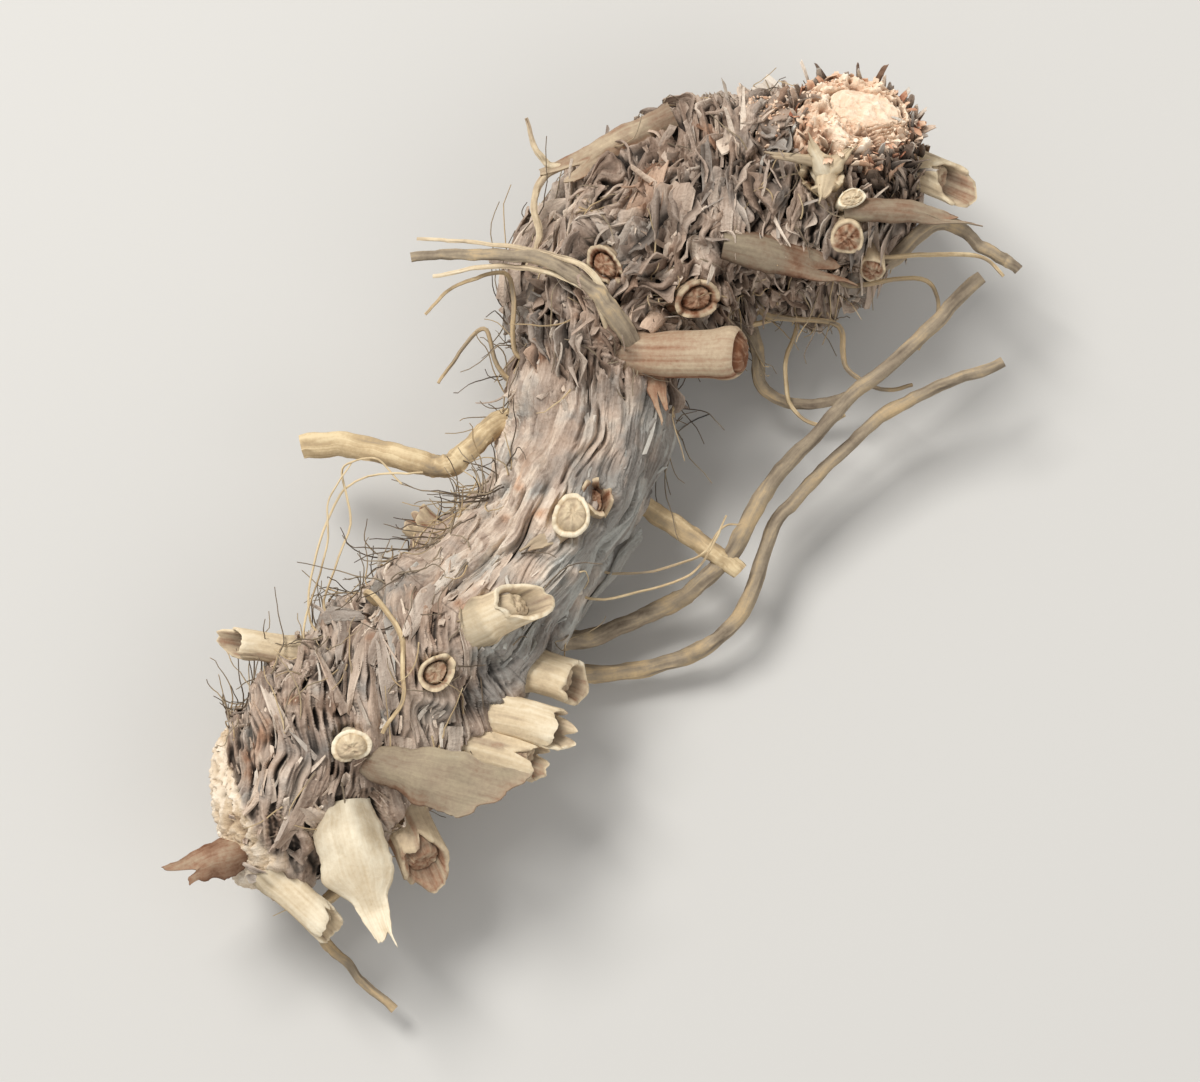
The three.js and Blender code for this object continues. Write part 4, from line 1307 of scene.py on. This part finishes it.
def makeSheaths(name, sheaths, slotName):
    each = (sheaths["count"], 1)
    mesh, unit = repeatMesh(sheetTemplate(*sheaths["mesh"]), sheaths["count"])
    x, y, z = np.moveaxis(unit, -1, 0)
    start, phase, layer = spread(sheaths["turn"], each), spread((0, 6.28), each), chance.random(each)
    wide, reach = spread(sheaths["wide"], each), spread(sheaths["reach"], each)
    twist = np.radians(chance.normal(0, sheaths["twist"], each))
    run = y * (1 + 0.9 * (layered((wide * x, phase, 0), 0.25, 3, 97) - 0.5) * y)
    lean = np.radians(spread(sheaths["tilt"], each) + spread(sheaths["curl"], each) * run)
    across = wide * x * (1 - 0.4 * y**1.5)
    near, far = sheaths["radius"]
    radius = near + (far - near) * layer + reach * run * np.sin(lean) + across * np.sin(twist) + 0.06 * z
    turn = start + (across * np.cos(twist) + 0.3 * reach * run * np.sin(phase)) / near
    least, most = sheaths["drop"]
    height = crown["height"] - least - (most - least) * layer + reach * run * np.cos(lean)
    values = {
        "tone": spread(sheaths["tone"], each) - 0.15 * layer + 0.2 * (y - 0.5),
        # painted shade, darkest at the foot of each sheath
        "rise": np.clip(0.1 + 0.9 * y, 0, 1),
        "cool": spread((0.1, 0.9), each),
        "grain": (across + phase, reach * y, phase),
    }
    finishPiece(name, mesh, stemPoint(turn, radius, height), slotName, values)


def makeCrumbs():
    # small angular grains, each a little different, on the broken stem and on the bark beside it
    count, patch = crown["crumbs"], crown["barkCrumbs"]
    turn, radius = spread((0, 6.28), count), crown["radius"] * 0.97 * np.sqrt(chance.random(count))
    right, up, wide, tall = crown["disc"]
    oval = np.hypot((radius * np.cos(turn) - right) / wide, (radius * np.sin(turn) - up) / tall)
    loose = oval > 1.1
    height, tone, _ = crownFace(turn[loose], radius[loose])
    onStem = stemPoint(turn[loose], radius[loose], height)
    along, angle = (chance.normal(*patch[key], patch["count"]) for key in ("along", "angle"))
    onBark = barkPoint(along, angle, gridAt(skinSmooth, along, angle) + 0.1)
    feet = np.vstack([onStem, onBark])[:, None, :]
    size = spread(crown["crumbSize"], len(feet))[:, None, None]
    tone = np.r_[tone + spread((-0.15, 0.15), len(tone)), spread((0.35, 0.85), patch["count"])][:, None]
    shape = bmesh.new()
    bmesh.ops.create_icosphere(shape, subdivisions=1, radius=1)
    mesh, unit = repeatMesh(meshOf(shape), len(feet))
    seed = np.arange(len(feet))[:, None, None] * 3.1
    jagged = 1 + 0.9 * (noiseAt(unit + seed, 0.7, 98) - 0.5)
    points = feet + unit * jagged[..., None] * spread((0.5, 1.2), (len(feet), 1, 3)) * size
    # painted shade: each crumb lighter on top and darker underneath
    values = {"tone": tone, "rise": np.clip(0.7 + 0.4 * unit[..., 2], 0, 1), "grain": unit * size + seed}
    finishPiece("crownCrumbs", mesh, points, "flesh", values, 40)


makeSkin()
makeFlakes("lobeRibbons", lobeRibbons)
makeFlakes("lobeSheets", lobeSheets)
makeFlakes("bodySheets", bodySheets)
makeFlakes("neckShreds", neckShreds)
makeFlakes("bodyShreds", bodyShreds)
makeFlakes("barkChips", barkChips)
makeStalks()
makeLeafBases()
makeStrands("wiryRoots", wiryRoots, "root")
makeStrands("rootlets", rootlets, "root")
makeStrands("elbowStrands", elbowStrands, "stalk")
makeHairs("fineHairs", fineHairs)
makeHairs("looseHairs", looseHairs)
makeCrown()
makeSheaths("innerSheaths", innerSheaths, "flesh")
makeSheaths("outerSheaths", outerSheaths, "bark")
makeCrumbs()

# The stage: a plain pale floor, a large soft key light from the upper left, and a fill.
stage = {
    "floor": "#c6c3bd",
    "floorSize": 1.2,
    "roughness": 0.9,
    "world": "#f2f3f5",
    "worldStrength": 0.58,
    "key": (-0.14, 0.16, 0.3),
    "keySize": 0.14,
    "keyPower": 1.28,
    "fill": (0.25, -0.2, 0.22),
    "fillSize": 0.3,
    "fillPower": 0.35,
}


def addLight(name, place, size, power):
    lamp = bpy.data.lights.new(name, "AREA")
    lamp.size = size
    lamp.energy = power
    light = addObject(name, lamp)
    light.location = place
    light.rotation_euler = (-Vector(place)).to_track_quat("-Z", "Y").to_euler()


def makeStage():
    shape = bmesh.new()
    bmesh.ops.create_grid(shape, x_segments=1, y_segments=1, size=stage["floorSize"] / 2)
    floor = addObject("floor", meshOf(shape))
    paper = bpy.data.materials.new("mattPaper")
    paper.use_nodes = True
    surface = paper.node_tree.nodes["Principled BSDF"].inputs
    surface["Base Color"].default_value = colour(stage["floor"])
    surface["Roughness"].default_value = stage["roughness"]
    floor.data.materials.append(paper)
    world = bpy.data.worlds.new("softRoom")
    world.use_nodes = True
    background = world.node_tree.nodes["Background"].inputs
    background[0].default_value = colour(stage["world"])
    background[1].default_value = stage["worldStrength"]
    bpy.context.scene.world = world
    addLight("key", stage["key"], stage["keySize"], stage["keyPower"])
    addLight("fill", stage["fill"], stage["fillSize"], stage["fillPower"])


# The photo looks almost straight down, from a little below the picture.
camera = {
    "elevation": 78,
    "lens": 100,
    "seenHeight": 0.044,
    "aspect": 1200 / 1082,
    "aim": (0, -0.0005, 0.004),
    "clipStart": 0.01,
}


def makeCamera():
    data = bpy.data.cameras.new("camera")
    data.lens = camera["lens"]
    distance = camera["seenHeight"] * camera["aspect"] * data.lens / data.sensor_width
    tilt = math.radians(camera["elevation"])
    back = Vector((0, -math.cos(tilt), math.sin(tilt)))
    view = addObject("camera", data)
    view.location = Vector(camera["aim"]) + back * distance
    view.rotation_euler = (-back).to_track_quat("-Z", "Y").to_euler()
    data.clip_start = camera["clipStart"]
    bpy.context.scene.camera = view


makeStage()
makeCamera()
bpy.context.scene.view_settings.view_transform = "Standard"
print("stage and camera made")
